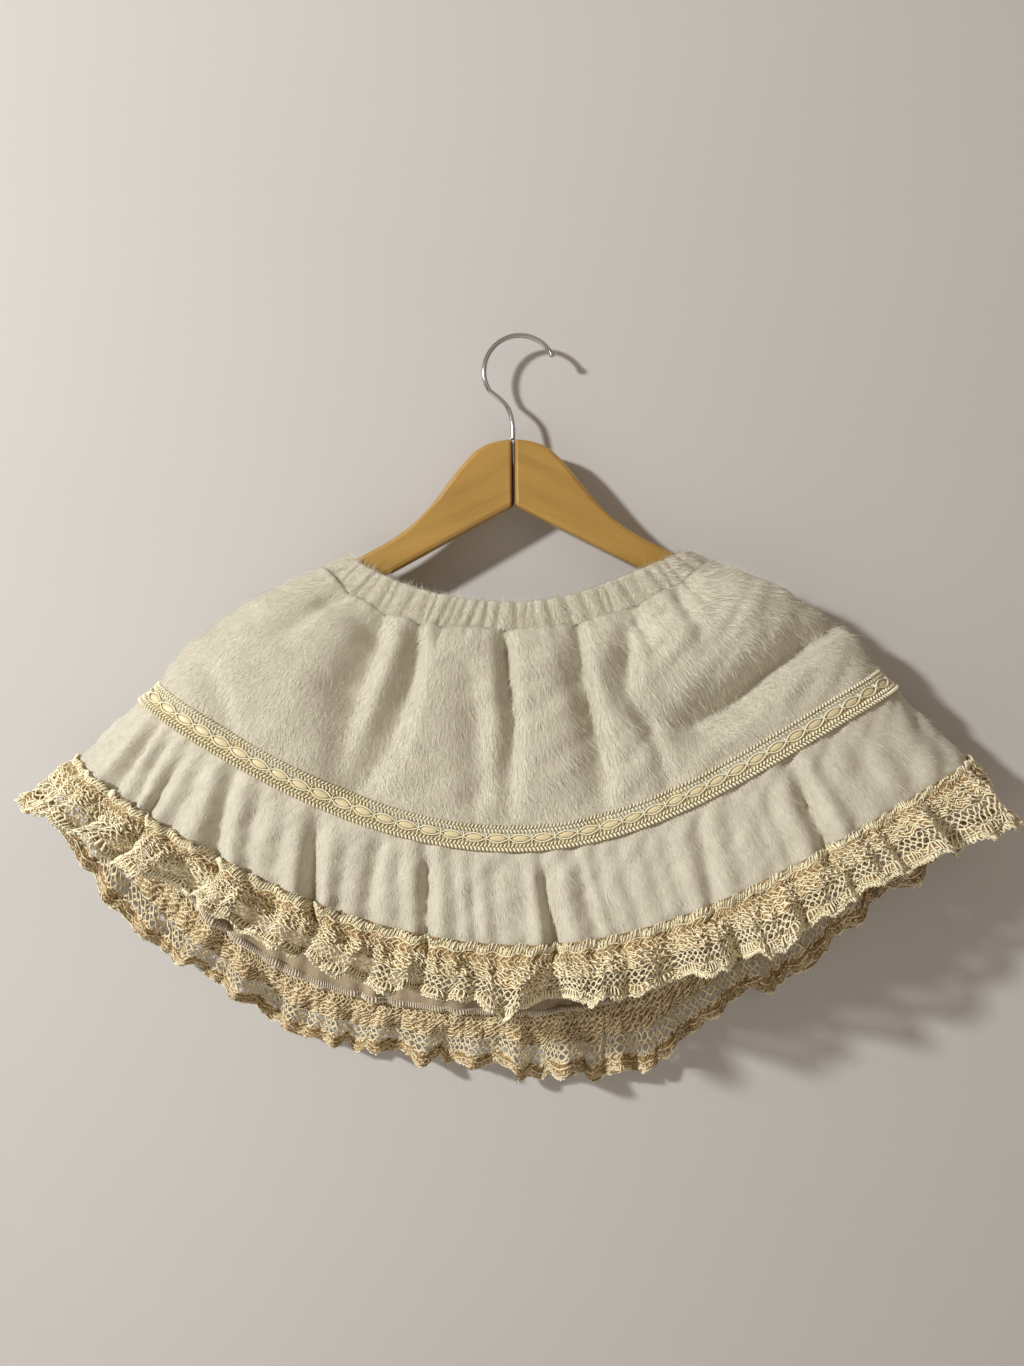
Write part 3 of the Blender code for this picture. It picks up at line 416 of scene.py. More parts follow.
def ring_normals(level, shares, side):
    """The cloth's outward direction at the same places."""
    low = ring_points(level, np.maximum(shares - NORMAL_SHARE, 0.0), side)
    high = ring_points(level, np.minimum(shares + NORMAL_SHARE, 1.0), side)
    above = ring_points(max(level - NORMAL_LEVELS, BAND_TOP), shares, side)
    below = ring_points(min(level + NORMAL_LEVELS, LACE_EDGE), shares, side)
    normals = np.cross(below - above, high - low)
    return unit(-normals if side == "back" else normals)


class Cloth:
    """A sheet of cloth as a grid of points: rows run down, columns run from left to right."""

    def __init__(self, points, side, run, fall):
        self.points = points
        self.side = side
        self.run = np.broadcast_to(run, points.shape[:2])
        self.fall = np.broadcast_to(fall, points.shape[:2])
        self.down = unit(np.gradient(points, axis=0))
        outward = np.cross(self.down, unit(np.gradient(points, axis=1)))
        if side == "back":
            outward = -outward
        outward[:, (0, -1), 1] = 0.0
        self.outward = unit(outward)
        self.across = unit(np.cross(self.outward, self.down))

    def moved_out(self, distance):
        """The same sheet's points, moved along its outward direction."""
        return self.points + self.outward * distance


def cloth_from_rings(side, levels, shares, moved, lowered=0.0):
    """A sheet that follows the rings at these levels, moved out and down by the grids given."""
    shares = np.broadcast_to(shares, (len(levels), np.shape(shares)[-1]))
    middle, normal = (np.stack([follow(level, row, side) for level, row in zip(levels, shares)])
                      for follow in (ring_points, ring_normals))
    normal[:, (0, -1), 1] = 0.0
    points = middle + unit(normal) * moved[..., None]
    points[..., 2] -= lowered
    points[:, (0, -1), 1] = 0.0
    run = shares * max(length_of(level, side) for level in levels)
    heights = [ring_points(level, np.array((0.5,)), side)[0, 2] for level in levels]
    return Cloth(points, side, run, summed(np.abs(np.diff(heights)))[:, None])


def spread_shares(columns, lean=0.35):
    """Shares from 0 to 1 that lie closer together towards both side seams."""
    even = np.linspace(0.0, 1.0, columns)
    return (1 - lean) * even + lean * (1 - np.cos(math.pi * even)) / 2


def side_fade(level, shares, side, reach=SIDE_FADE):
    """From 0 at the side seams to 1 a little way in."""
    return np.clip(np.minimum(shares, 1 - shares) * length_of(level, side) / reach, 0.0, 1.0)


def bridged(shape, level, shares, side, reach):
    """The furthest out that a shape comes within reach to either side, as stiff work lies."""
    reaches = np.linspace(-1, 1, 5) * reach / length_of(level, side)
    return np.max([shape(level, shares + step, side) for step in reaches], axis=0)


def ridges(places, edges, heights, roundness):
    """Rounded ridges between narrow valleys, each as high as the list says."""
    index = np.clip(np.searchsorted(edges, places, side="right") - 1, 0, len(edges) - 2)
    t = np.clip((places - edges[index]) / (edges[index + 1] - edges[index]), 0.0, 1.0)
    return heights[index] * np.sin(math.pi * t) ** roundness


def rib_shape(side, shares, level):
    """The waistband's soft ribs, uneven in width, height and slant."""
    dice = np.random.default_rng(SEED + len(side))
    count = BAND_RIBS[side]
    widths = dice.uniform(0.5, 1.6, count)
    edges = summed(widths) / widths.sum()
    heights = dice.uniform(0.5, 1.0, count) * np.minimum(widths + 0.15, 1.1)
    edges[1:-1] += dice.uniform(-0.45, 0.45, count - 1) * (level - 0.5) / count
    return ridges(shares, edges, heights, RIB_ROUNDNESS)


def column_shape(level, shares, side):
    """The puffed columns under the waistband, with a slit between each two."""
    slits = np.array(SLITS[side]) * (1 - 0.07 * (level - BAND_BOTTOM))
    edges = np.concatenate(((-1.0,), slits, (1.0,)))
    share, curve, _ = ring_curve(level, side)
    x, left, right = np.interp(shares, share, curve[:, 0]), curve[0, 0], curve[-1, 0]
    across = (2 * x - left - right) / (right - left)
    return ridges(across, edges, np.ones(len(edges) - 1), COLUMN_ROUNDNESS)


def fold_depths(level, shares, side):
    """How far the folds of the upper tier draw the cloth in at one ring."""
    x, _, z = ring_points(level, shares, side).T / MM
    drawn = np.zeros(len(shares))
    for fold in FOLDS[side]:
        deepest = np.zeros(len(shares))
        for start, end in zip(np.array(fold), np.array(fold[1:])):
            run, rise = end[:2] - start[:2]
            along = ((x - start[0]) * run + (z - start[1]) * rise) / (run * run + rise * rise)
            along = np.clip(along, 0.0, 1.0)
            _, _, first, second, depth = start[:, None] + (end - start)[:, None] * along
            off_x = x - start[0] - run * along
            off_z = z - start[1] - rise * along
            width = np.where(off_x * rise - off_z * run > 0, first, second)
            here = depth * np.exp(-(off_x ** 2 + off_z ** 2) / width ** 2)
            deepest = np.where(np.abs(here) > np.abs(deepest), here, deepest)
        drawn += deepest
    return FOLD_GAIN * drawn * MM


def upper_moved(level, shares, side):
    """The upper tier's distance from its ring: puff, folds, puckers and unevenness."""
    ribs = rib_shape(side, shares, BAND_BOTTOM) - 0.5
    columns = column_shape(level, shares, side) - 0.5
    moved = swell(level, *PUFF) + swell(level, *PUCKERS) * ribs + swell(level, *COLUMNS) * columns
    seam = smooth_step(5.45, 4.7, level)
    folds = fold_depths(level, shares, side) * read(FOLD_RISE, level) * (0.4 + 0.6 * seam)
    relief = UNEVENNESS * unevenness(shares * length_of(level, side), level * 0.033,
                                     11 + len(side), 0.09, 0.024)
    moved = moved - folds + relief * seam * smooth_step(0.9, 1.8, level)
    return moved * side_fade(level, shares, side)


def gather_stations(level, side):
    """Shares of the side's valleys and ridges at one level, with their depths."""
    along = np.clip((level - TRIM_MIDDLE) / (HEM - TRIM_MIDDLE), 0.0, 1.0)
    table = np.array(GATHERS)
    if side == "back":
        table = table[::-1] * (-1.0, -1.0, 1.0)
        table[:, 2] = np.roll(table[:, 2], BACK_GATHER_SHIFT)
    at_trim, at_hem = ((x - ring[LEFT_X]) / (ring[RIGHT_X] - ring[LEFT_X])
                       for x, ring in zip(table.T, (ring_at(TRIM_MIDDLE), ring_at(HEM))))
    ring = ring_at(level)
    across = at_trim * (1 - along) + at_hem * along
    valley_x = ring[LEFT_X] + across * (ring[RIGHT_X] - ring[LEFT_X])
    dice = np.random.default_rng(SEED + 10 + len(side))
    turn, swing, start = dice.uniform(-1.0, 1.0, (3, len(table))) * math.pi
    valley_x = valley_x * MM + GATHER_SWAY * (np.sin(5.0 * along + turn) - np.sin(turn))
    share, curve, _ = ring_curve(level, side)
    valleys = np.interp(valley_x, curve[:, 0], share)
    depth = table[:, 2] * read(GATHER_GAINS, table[:, 2]) * MM
    depth = depth * (1 + 0.4 * np.sin(swing) * np.sin(4.0 * along + start))
    shares, drawn = np.empty((2, 2 * len(valleys) - 1))
    shares[::2], shares[1::2] = valleys, (valleys[1:] + valleys[:-1]) / 2
    drawn[::2] = depth * (1 - RIDGE_SHARE)
    drawn[1::2] = -RIDGE_SHARE * (depth[1:] + depth[:-1]) / 2
    ends = np.array((0.0, 0.012))
    ends = ends[ends < min(shares[0], 1 - shares[-1])]
    none = np.zeros(len(ends))
    return np.concatenate((ends, shares, 1 - ends[::-1])), np.concatenate((none, drawn, none))


def eased(places, stations, values):
    """Values between stations, with rounded ridges and narrower valleys."""
    index = np.clip(np.searchsorted(stations, places, side="right") - 1, 0, len(stations) - 2)
    t = (places - stations[index]) / (stations[index + 1] - stations[index])
    t = np.clip(t, 0.0, 1.0)
    falling = values[index] > values[index + 1]
    sharp = np.where(falling, np.sin(math.pi * t / 2), 1 - np.cos(math.pi * t / 2))
    t = 0.7 * (1 - np.cos(math.pi * t)) / 2 + 0.3 * sharp
    return values[index] * (1 - t) + values[index + 1] * t


def ruffle_moved(level, shares, side):
    """The ruffle's distance from its ring: its gathers, and fine puckers under the trim."""
    gathers = eased(shares, *gather_stations(min(level, HEM), side)) * read(RUFFLE_ROWS, level)
    run = shares * length_of(level, side)
    fine = swell(level, *TRIM_PUCKERS) * unevenness(run, 0.0, 23, 0.016, 0.007, 6)
    relief = 1.0 * MM * unevenness(run, level * 0.03, 29 + len(side), 0.05, 0.013)
    relief = relief * smooth_step(5.9, 6.8, level)
    return (fine + relief - gathers) * side_fade(level, shares, side, RUFFLE_FADE)


def flute_shape(shares, side):
    """How far the lace's edge stands out, hangs down and leans sideways in its flutes."""
    table = np.array(FLUTES[side]) * MM
    x = ring_points(LACE_EDGE, shares, side)[:, 0]
    out, down, lean = np.zeros((3, len(shares)))
    for left, right in zip(table, table[1:]):
        between = (left[0] + left[1] + right[0] - right[1]) / 2
        gap = max(right[0] - right[1] - left[0] - left[1], 0.0)
        deep, wide = CREVICE_DEPTH + 0.6 * gap, max(CREVICE_WIDTH, 0.5 * gap)
        out -= deep * np.exp(-((x - between) / wide) ** 2)
    for edge_x, half_width, flute_out, flute_down in table:
        away = (x - edge_x) / half_width
        bump = np.exp(-np.abs(away) ** FLUTE_POWER)
        out += flute_out * bump
        down += flute_down * bump
        lean += flute_out * away * np.abs(away) * bump
    return out, down, lean


def lace_moved(down, shares, side):
    """The lace's distance from its ring: over the ruffle, then out in flutes and crumples."""
    level = read(LACE_LEVELS, down)
    over = bridged(ruffle_moved, level, shares, side, LACE_BRIDGE * min(0.25 + 2.5 * down, 1.0))
    free = np.clip((level - HEM) / (LACE_EDGE - HEM), 0.0, 1.0)
    out = read(LACE_FREEDOM, level) * flute_shape(shares, side)[0]
    run = shares * LACE_WIDTH
    lumps = unevenness(run, down * 0.022, 41 + len(side), 0.05, 0.015, 10) * read(LUMPS, down)
    dents = unevenness(run, down * 0.05, 43 + len(side), 0.015, 0.006, 10) * read(DENTS, down)
    lift = (RUFFLE_THICKNESS + LACE_THICKNESS) / 2 + LACE_LIFT * min(0.4 + 2.0 * down, 1.3)
    fade = side_fade(level, shares, side, LACE_FADE)
    moved = over * (1 - free) + FLUTE_GAIN * out + (lumps + dents) * MM
    return moved * fade + lift * (0.5 + 0.5 * fade)


def upper_cloth(side):
    """The upper tier, from inside the waistband seam to under the braid."""
    levels = np.concatenate((np.linspace(0.95, 1.5, 12)[:-1], np.linspace(1.5, UPPER_END, 35)))
    shares = spread_shares(220)
    moved = np.array([upper_moved(level, shares, side) for level in levels])
    tops = np.array([column_shape(level, shares, side) - 0.3 for level in levels])
    tuck, raised = (read(table, levels)[:, None] * MM for table in (TUCK, COLUMN_TOPS))
    return cloth_from_rings(side, levels, shares, moved + tuck, -raised * tops)


def ruffle_cloth(side, levels, columns):
    """The lower tier, gathered under the braid, or only some levels of it."""
    shares = spread_shares(columns)
    moved = np.array([ruffle_moved(level, shares, side) for level in levels])
    return cloth_from_rings(side, levels, shares, moved)


def braid_cloth(side):
    """The braid, laid over the seam of the two tiers."""
    levels = np.linspace(TRIM_TOP, TRIM_BOTTOM, 5)
    shares = spread_shares(300, 0.2)

    def under(level, places, side):
        return upper_moved(min(level, 5.45), places, side)

    lift = UPPER_THICKNESS / 2 + TRIM_LIFT
    moved = [bridged(under, level, shares, side, TRIM_BRIDGE)
             + lift * (0.6 + 0.4 * side_fade(level, shares, side)) for level in levels]
    return cloth_from_rings(side, levels, shares, np.array(moved))


def lace_cloth(side, columns, downs):
    """The lace as a sheet, with its run measured along its own crumpled length."""
    fine = np.linspace(0.0, 1.0, LACE_SAMPLES)
    level = read(LACE_LEVELS, LACE_MIDDLE)
    line = ring_points(level, fine, side)
    line = line + ring_normals(level, fine, side) * lace_moved(LACE_MIDDLE, fine, side)[:, None]
    run = summed(np.linalg.norm(np.diff(line, axis=0), axis=1))
    even = np.linspace(0.0, run[-1], columns)
    shares = np.interp(even, run, fine)
    _, down, lean = flute_shape(shares, side)
    fade = side_fade(LACE_EDGE, shares, side, LACE_FADE)
    scalloped = unevenness(shares * LACE_WIDTH, 0.0, 61 + len(side), 0.05, 0.009)
    levels = read(LACE_LEVELS, downs)
    free = read(LACE_FREEDOM, levels)[:, None]
    lengths = np.array([length_of(level, side) for level in levels])[:, None]
    cloth = cloth_from_rings(
        side, levels, np.clip(shares - lean * fade * free / lengths, 0.0, 1.0),
        np.array([lace_moved(share, shares, side) for share in downs]),
        (down + 2.2 * MM * scalloped) * fade * free)
    cloth.run = np.broadcast_to(even, cloth.run.shape)
    cloth.fall = np.broadcast_to(downs[:, None] * LACE_DEPTH * MM, cloth.run.shape)
    return cloth


def band_row(side, shares, level, out, rib):
    """One line of the waistband's casing across a side."""
    ribs = rib_shape(side, shares, level)
    moved = out * BAND_THICKNESS / 2 + (ribs - 0.35) * rib * RIB_HEIGHT
    ring = max(level, BAND_TOP)
    points = ring_points(ring, shares, side) + ring_normals(ring, shares, side) * moved[:, None]
    points[:, 2] += (0.9 * ribs * rib - 0.3) * MM * (level < 0.1)
    return points


def band_face(side):
    """The waistband's outer face, as the sheet that its short hair grows on."""
    shares = np.linspace(0.004, 0.996, 260)
    rows = BAND_PROFILE[BAND_FACE]
    fall = np.cumsum(rows[:, 3]) - rows[0, 3]
    points = np.array([band_row(side, shares, *row[:3]) for row in rows])
    return Cloth(points, side, shares * length_of(0.5, side), fall[:, None] * MM)


# Meshes


def grid_faces(rows, columns, side="front", closed_rows=False, closed_columns=False):
    """Four-cornered faces of a grid, facing out of the skirt."""
    faces = []
    for row in range(rows if closed_rows else rows - 1):
        for column in range(columns if closed_columns else columns - 1):
            below, beside = (row + 1) % rows, (column + 1) % columns
            loop = (row * columns + column, below * columns + column,
                    below * columns + beside, row * columns + beside)
            faces.append(loop if side == "front" else loop[::-1])
    return faces


def new_piece(name, corners, faces, uv=None, materials=(), smooth=True):
    """A mesh object at the origin, with a place on the cloth for each corner if given."""
    mesh = bpy.data.meshes.new(name)
    mesh.from_pydata(np.asarray(corners, dtype=float).reshape(-1, 3).tolist(), [], faces)
    if uv is not None:
        layer = mesh.uv_layers.new(name="cloth")
        index = np.empty(len(mesh.loops), dtype=np.int32)
        mesh.loops.foreach_get("vertex_index", index)
        layer.data.foreach_set("uv", np.asarray(uv, dtype=np.float32).reshape(-1, 2)[index].ravel())
    if smooth:
        mesh.shade_smooth()
    for material in materials:
        mesh.materials.append(material)
    piece = bpy.data.objects.new(name, mesh)
    bpy.context.scene.collection.objects.link(piece)
    return piece


def store(mesh, name, values):
    """Keep a direction or a number for each corner of a mesh."""
    values = np.asarray(values, dtype=np.float32)
    kind, key = ("FLOAT_VECTOR", "vector") if values.shape[-1] == 3 else ("FLOAT", "value")
    mesh.attributes.new(name, kind, "POINT").data.foreach_set(key, values.ravel())


def wall_of(cloth, thickness):
    """The corners, faces and cloth places of a thin wall with closed rims."""
    rows, columns = cloth.points.shape[:2]
    skin = rows * columns
    faces = grid_faces(rows, columns, cloth.side)
    faces += [tuple(index + skin for index in loop[::-1]) for loop in faces]
    grid = np.arange(skin).reshape(rows, columns)
    rim = np.concatenate((grid[0, :-1], grid[:-1, -1], grid[-1, :0:-1], grid[:0:-1, 0])).tolist()
    for start, end in zip(rim, rim[1:] + rim[:1]):
        loop = (start, end, end + skin, start + skin)
        faces.append(loop if cloth.side == "front" else loop[::-1])
    corners = np.stack((cloth.moved_out(thickness / 2), cloth.moved_out(-thickness / 2)))
    uv = np.stack((cloth.run, cloth.fall), axis=-1).reshape(-1, 2)
    return corners.reshape(-1, 3), faces, np.concatenate((uv, uv))


def shell(name, cloths, thickness, *materials):
    """One piece made of thin sheets of cloth. A second material is for its inner side."""
    corners, faces, uv = np.empty((0, 3)), [], np.empty((0, 2))
    for cloth in cloths:
        more_corners, more_faces, more_uv = wall_of(cloth, thickness)
        faces += [tuple(index + len(corners) for index in loop) for loop in more_faces]
        corners = np.concatenate((corners, more_corners))
        uv = np.concatenate((uv, more_uv))
    piece = new_piece(name, corners, faces, uv, materials)
    if len(materials) > 1:
        rows, columns = cloths[0].points.shape[:2]
        skin = (rows - 1) * (columns - 1)
        for face in piece.data.polygons[skin:2 * skin]:
            face.material_index = 1
    return piece


def carrier(cloth, distance=0.0, facing=1):
    """A sheet that threads are laid on: it keeps a place from 0 to 1 each way.

    With facing -1 the work lies on the cloth's inner side.
    """
    places = [(way - way.min()) / (way.max() - way.min()) for way in (cloth.run, cloth.fall)]
    piece = new_piece("carrier", cloth.moved_out(facing * distance),
                      grid_faces(*cloth.points.shape[:2], cloth.side), np.stack(places, axis=-1))
    store(piece.data, "outward", facing * cloth.outward.reshape(-1, 3))
    return piece


def thread_tile(name, paths, sides=3):
    """Closed tubes along paths of (x, y, z) points in millimetres, each path with its radius."""
    corners, faces = [], []
    for path, radius in paths:
        path = np.array(path, dtype=float)
        ahead = unit(np.gradient(path, axis=0))
        beside = unit(np.cross(ahead, (0.0, 0.0, 1.0)) + (1e-6, 0.0, 0.0))
        above = np.cross(beside, ahead)
        first, count = len(corners), len(path)
        for turn in np.arange(sides) * 2 * math.pi / sides + math.pi / 2:
            strand = path + radius * (math.cos(turn) * beside + math.sin(turn) * above)
            corners.extend(strand.tolist())
        for strand in range(sides):
            near = first + strand * count
            far = first + (strand + 1) % sides * count
            for step in range(count - 1):
                faces.append((near + step, near + step + 1, far + step + 1, far + step))
        ends = [first + strand * count for strand in range(sides)]
        faces += [tuple(ends), tuple(end + count - 1 for end in reversed(ends))]
    return new_piece(name, np.array(corners) * MM, faces)


# Node trees


def signs(operation):
    """The two methods for a sign such as +, with the wire on its left and on its right."""
    def left(wire, other):
        return wire.bench.add("Math", {0: wire, 1: other}, operation=operation)

    def right(wire, other):
        return wire.bench.add("Math", {0: other, 1: wire}, operation=operation)

    return left, right


class Wire:
    """One output of a node. Sums and products of wires and numbers add the nodes for them."""

    __add__, __radd__ = signs("ADD")
    __sub__, __rsub__ = signs("SUBTRACT")
    __mul__, __rmul__ = signs("MULTIPLY")
    __truediv__, __rtruediv__ = signs("DIVIDE")
    __pow__ = signs("POWER")[0]

    def __init__(self, bench, socket):
        self.bench = bench
        self.socket = socket

    def also(self, name):
        """Another output of the same node."""
        return Wire(self.bench, self.bench.open_socket(self.socket.node.outputs, name))


class Bench:
    """A node tree and the ways in which nodes are added to it."""

    def __init__(self, tree):
        self.tree = tree

    @staticmethod
    def open_socket(sockets, key=None):
        """A socket by its number, or the first one in use that has the name or any name."""
        if isinstance(key, int):
            return sockets[key]
        return next(one for one in sockets if one.enabled and key in (None, one.name))

    def add(self, kind, inputs=None, out=None, **settings):
        """A node of this kind: its settings first, then the values or wires of its sockets."""
        prefix = "" if kind.startswith(("Geometry", "Function", "Node")) else "ShaderNode"
        node = self.tree.nodes.new(prefix + kind)
        for name, value in settings.items():
            setattr(node, name, value)
        for key, value in (inputs or {}).items():
            socket = self.open_socket(node.inputs, key)
            if isinstance(value, Wire):
                self.tree.links.new(value.socket, socket)
            else:
                socket.default_value = value
        return Wire(self, self.open_socket(node.outputs, out)) if node.outputs else node

    def vector(self, operation, first, second):
        """A sum or product of vectors."""
        return self.add("VectorMath", {0: first, 1: second}, operation=operation)

    def scaled(self, vector, scale):
        """A vector times a number."""
        return self.add("VectorMath", {0: vector, "Scale": scale}, operation="SCALE")

    def noise(self, place, scale=1.0, detail=2.0, out="Fac", **more):
        """Cloudy noise over a place."""
        return self.add("TexNoise", {"Vector": place, "Scale": scale, "Detail": detail, **more}, out)

    def ramp(self, value, low, high, falling=False):
        """From 0 at low to 1 at high, or from 1 to 0."""
        ends = {"To Min": 1.0, "To Max": 0.0} if falling else {}
        return self.add("MapRange", {"Value": value, "From Min": low, "From Max": high, **ends})

    def blend(self, share, first, second):
        """A colour between two."""
        first, second = (colour if isinstance(colour, Wire) else (*colour, 1.0)
                         for colour in (first, second))
        return self.add("Mix", {0: share, 6: first, 7: second}, 2, data_type="RGBA")


class GeometryBench(Bench):
    """A geometry tree with a mesh in, a mesh out and named inputs, whose wires it keeps."""

    def __init__(self, name, inputs):
        super().__init__(bpy.data.node_groups.new(name, "GeometryNodeTree"))
        for way in ("INPUT", "OUTPUT"):
            self.tree.interface.new_socket("Mesh", in_out=way, socket_type="NodeSocketGeometry")
        for label, kind in inputs.items():
            self.tree.interface.new_socket(label, in_out="INPUT", socket_type="NodeSocket" + kind)
        source = self.add("NodeGroupInput")
        self.given = {label: source.also(label) for label in ["Mesh", *inputs]}

    def stored(self, name, kind="FLOAT_VECTOR"):
        """What the mesh keeps under a name."""
        return self.add("GeometryNodeInputNamedAttribute", {"Name": name}, "Attribute",
                        data_type=kind)

    def store(self, geometry, name, value, domain):
        """Keep a number under a name."""
        return self.add("GeometryNodeStoreNamedAttribute", {
            "Geometry": geometry, "Name": name, "Value": value}, data_type="FLOAT", domain=domain)

    def done(self, mesh):
        """End the tree: everything real, with its material."""
        real = self.add("GeometryNodeRealizeInstances", {"Geometry": mesh})
        self.add("NodeGroupOutput", {"Mesh": self.add("GeometryNodeSetMaterial", {
            "Geometry": real, "Material": self.given["Material"]})})
        return self.tree


def lay_tree():
    """Lays a tile again and again along a sheet, bent to the sheet's own shape."""
    bench = GeometryBench("lay threads", {
        "Tile": "Object", "Count": "Int", "Pitch": "Float", "Depth": "Float",
        "Wobble": "Float", "Wobble Length": "Float", "Seed": "Float", "Material": "Material"})
    given = bench.given
    line = bench.add("GeometryNodeMeshLine", {
        "Count": given["Count"], "Offset": bench.add("CombineXYZ", {"X": given["Pitch"]})})
    tile = bench.add("GeometryNodeObjectInfo", {"Object": given["Tile"]}, "Geometry")
    row = bench.add("GeometryNodeInstanceOnPoints", {"Points": line, "Instance": tile})
    row = bench.add("GeometryNodeRealizeInstances", {"Geometry": row})
    spot = bench.add("GeometryNodeInputPosition")
    moved_on = bench.vector("ADD", spot, bench.add("CombineXYZ", {"Z": given["Seed"]}))
    noise = bench.noise(moved_on, 1.0 / given["Wobble Length"], out="Color", Roughness=0.6)
    shake = bench.scaled(bench.vector("SUBTRACT", noise, (0.5, 0.5, 0.5)), given["Wobble"])
    place = bench.add("SeparateXYZ", {0: bench.vector("ADD", spot, shake)})
    along, down = (bench.add("Clamp", {"Value": value, "Min": 0.0004, "Max": 0.9996})
                   for value in (place / (given["Pitch"] * given["Count"]),
                                 place.also("Y") / given["Depth"]))
    on_sheet = bench.add("CombineXYZ", {"X": along, "Y": down})
    on, facing = (bench.add("GeometryNodeSampleUVSurface", {
        "Mesh": given["Mesh"], "Value": value, "UV Map": bench.stored("cloth"),
        "Sample UV": on_sheet}, data_type="FLOAT_VECTOR") for value in (spot, bench.stored("outward")))
    # The height is kept for the threads' painted shade, darker where they lie low.
    row = bench.store(row, "height", place.also("Z"), "POINT")
    lifted = bench.vector("ADD", on, bench.scaled(facing, place.also("Z")))
    return bench.done(bench.add("GeometryNodeSetPosition", {"Geometry": row, "Position": lifted}))


def pile_tree():
    """Grows hair on a sheet: blades that lie along the way the cloth is brushed."""
    bench = GeometryBench("brushed hair", {
        "Blades": "Collection", "Density": "Float", "Shortest": "Float", "Longest": "Float",
        "Width": "Float", "Lift": "Float", "Stray": "Float", "Seed": "Int", "Material": "Material"})
    given = bench.given
    roots = bench.add("GeometryNodeDistributePointsOnFaces", {
        "Mesh": given["Mesh"], "Density": bench.stored("thick", "FLOAT") * given["Density"],
        "Seed": given["Seed"]}, distribute_method="RANDOM")
    lie = bench.add("FunctionNodeAxesToRotation", {
        "Primary Axis": roots.also("Normal"), "Secondary Axis": bench.stored("comb")},
        primary_axis="Z", secondary_axis="Y")

    def chance(low, high, number):
        return bench.add("FunctionNodeRandomValue", {
            "Min": low, "Max": high, "Seed": given["Seed"] + number}, data_type="FLOAT")

    stray = chance(0.0, 1.0, 11) ** 7.0
    lift = given["Lift"] * chance(0.1, 1.0, 12) + given["Stray"] * stray
    turn = bench.add("FunctionNodeEulerToRotation", {0: bench.add("CombineXYZ", {
        "X": lift, "Y": chance(-0.3, 0.3, 13), "Z": chance(-0.36, 0.36, 14)})})
    lie = bench.add("FunctionNodeRotateRotation", {"Rotation": lie, "Rotate By": turn},
                    rotation_space="LOCAL")
    length = bench.add("Mix", {0: chance(0.0, 1.0, 15), 2: given["Shortest"],
                               3: given["Longest"]}, data_type="FLOAT") * (1.0 + 0.9 * stray)
    hair = bench.add("GeometryNodeInstanceOnPoints", {
        "Points": roots, "Pick Instance": True, "Rotation": lie,
        "Instance": bench.add("GeometryNodeCollectionInfo", {
            "Collection": given["Blades"], "Separate Children": True, "Reset Children": True}),
        "Scale": bench.add("CombineXYZ", {
            "X": given["Width"] * chance(0.6, 1.25, 16), "Y": length, "Z": length})})
    return bench.done(bench.store(hair, "tint", chance(0.0, 1.0, 17), "INSTANCE"))


def made_by(tree, name, host, values, mirrored=False):
    """The piece that a tree makes of its host, as a plain mesh. The host is used up.

    On a sheet whose places run against its outward side the faces come out mirrored.
    """
    modifier = host.modifiers.new(tree.name, "NODES")
    modifier.node_group = tree
    for item in tree.interface.items_tree:
        if item.in_out == "INPUT" and item.name in values:
            modifier[item.identifier] = values[item.name]
    seen = host.evaluated_get(bpy.context.evaluated_depsgraph_get())
    mesh = bpy.data.meshes.new_from_object(seen)
    host.modifiers.remove(modifier)
    old = host.data
    bpy.data.objects.remove(host)
    bpy.data.meshes.remove(old)
    if mirrored:
        mesh.flip_normals()
    mesh.name = name
    piece = bpy.data.objects.new(name, mesh)
    bpy.context.scene.collection.objects.link(piece)
    return piece


# Materials


class Finish(Bench):
    """A Principled material and its tree."""

    def __init__(self, name, roughness, **fixed):
        self.material = bpy.data.materials.new(name)
        self.material.use_nodes = True
        super().__init__(self.material.node_tree)
        self.shader = self.tree.nodes["Principled BSDF"]
        for label, value in {"Roughness": roughness, **fixed}.items():
            self.shader.inputs[label.replace("_", " ")].default_value = value

    def feed(self, label, wire):
        """Join a wire to one of the shader's sockets."""
        self.tree.links.new(wire.socket, self.shader.inputs[label])

    def bump(self, strength, distance, height):
        """Give the surface a fine relief."""
        self.feed("Normal", self.add("Bump", {
            "Strength": strength, "Distance": distance, "Height": height}))

    def on_cloth(self, across, down):
        """Places on the cloth, in repeats for each metre across and down."""
        return self.vector("MULTIPLY", self.add("UVMap", uv_map="cloth"), (across, down, 1.0))

    def on_object(self):
        """Places on the object, in metres."""
        return self.add("TexCoord", out="Object")

    def kept(self, name):
        """A number that the mesh keeps under a name."""
        return self.add("Attribute", attribute_name=name, out="Fac")


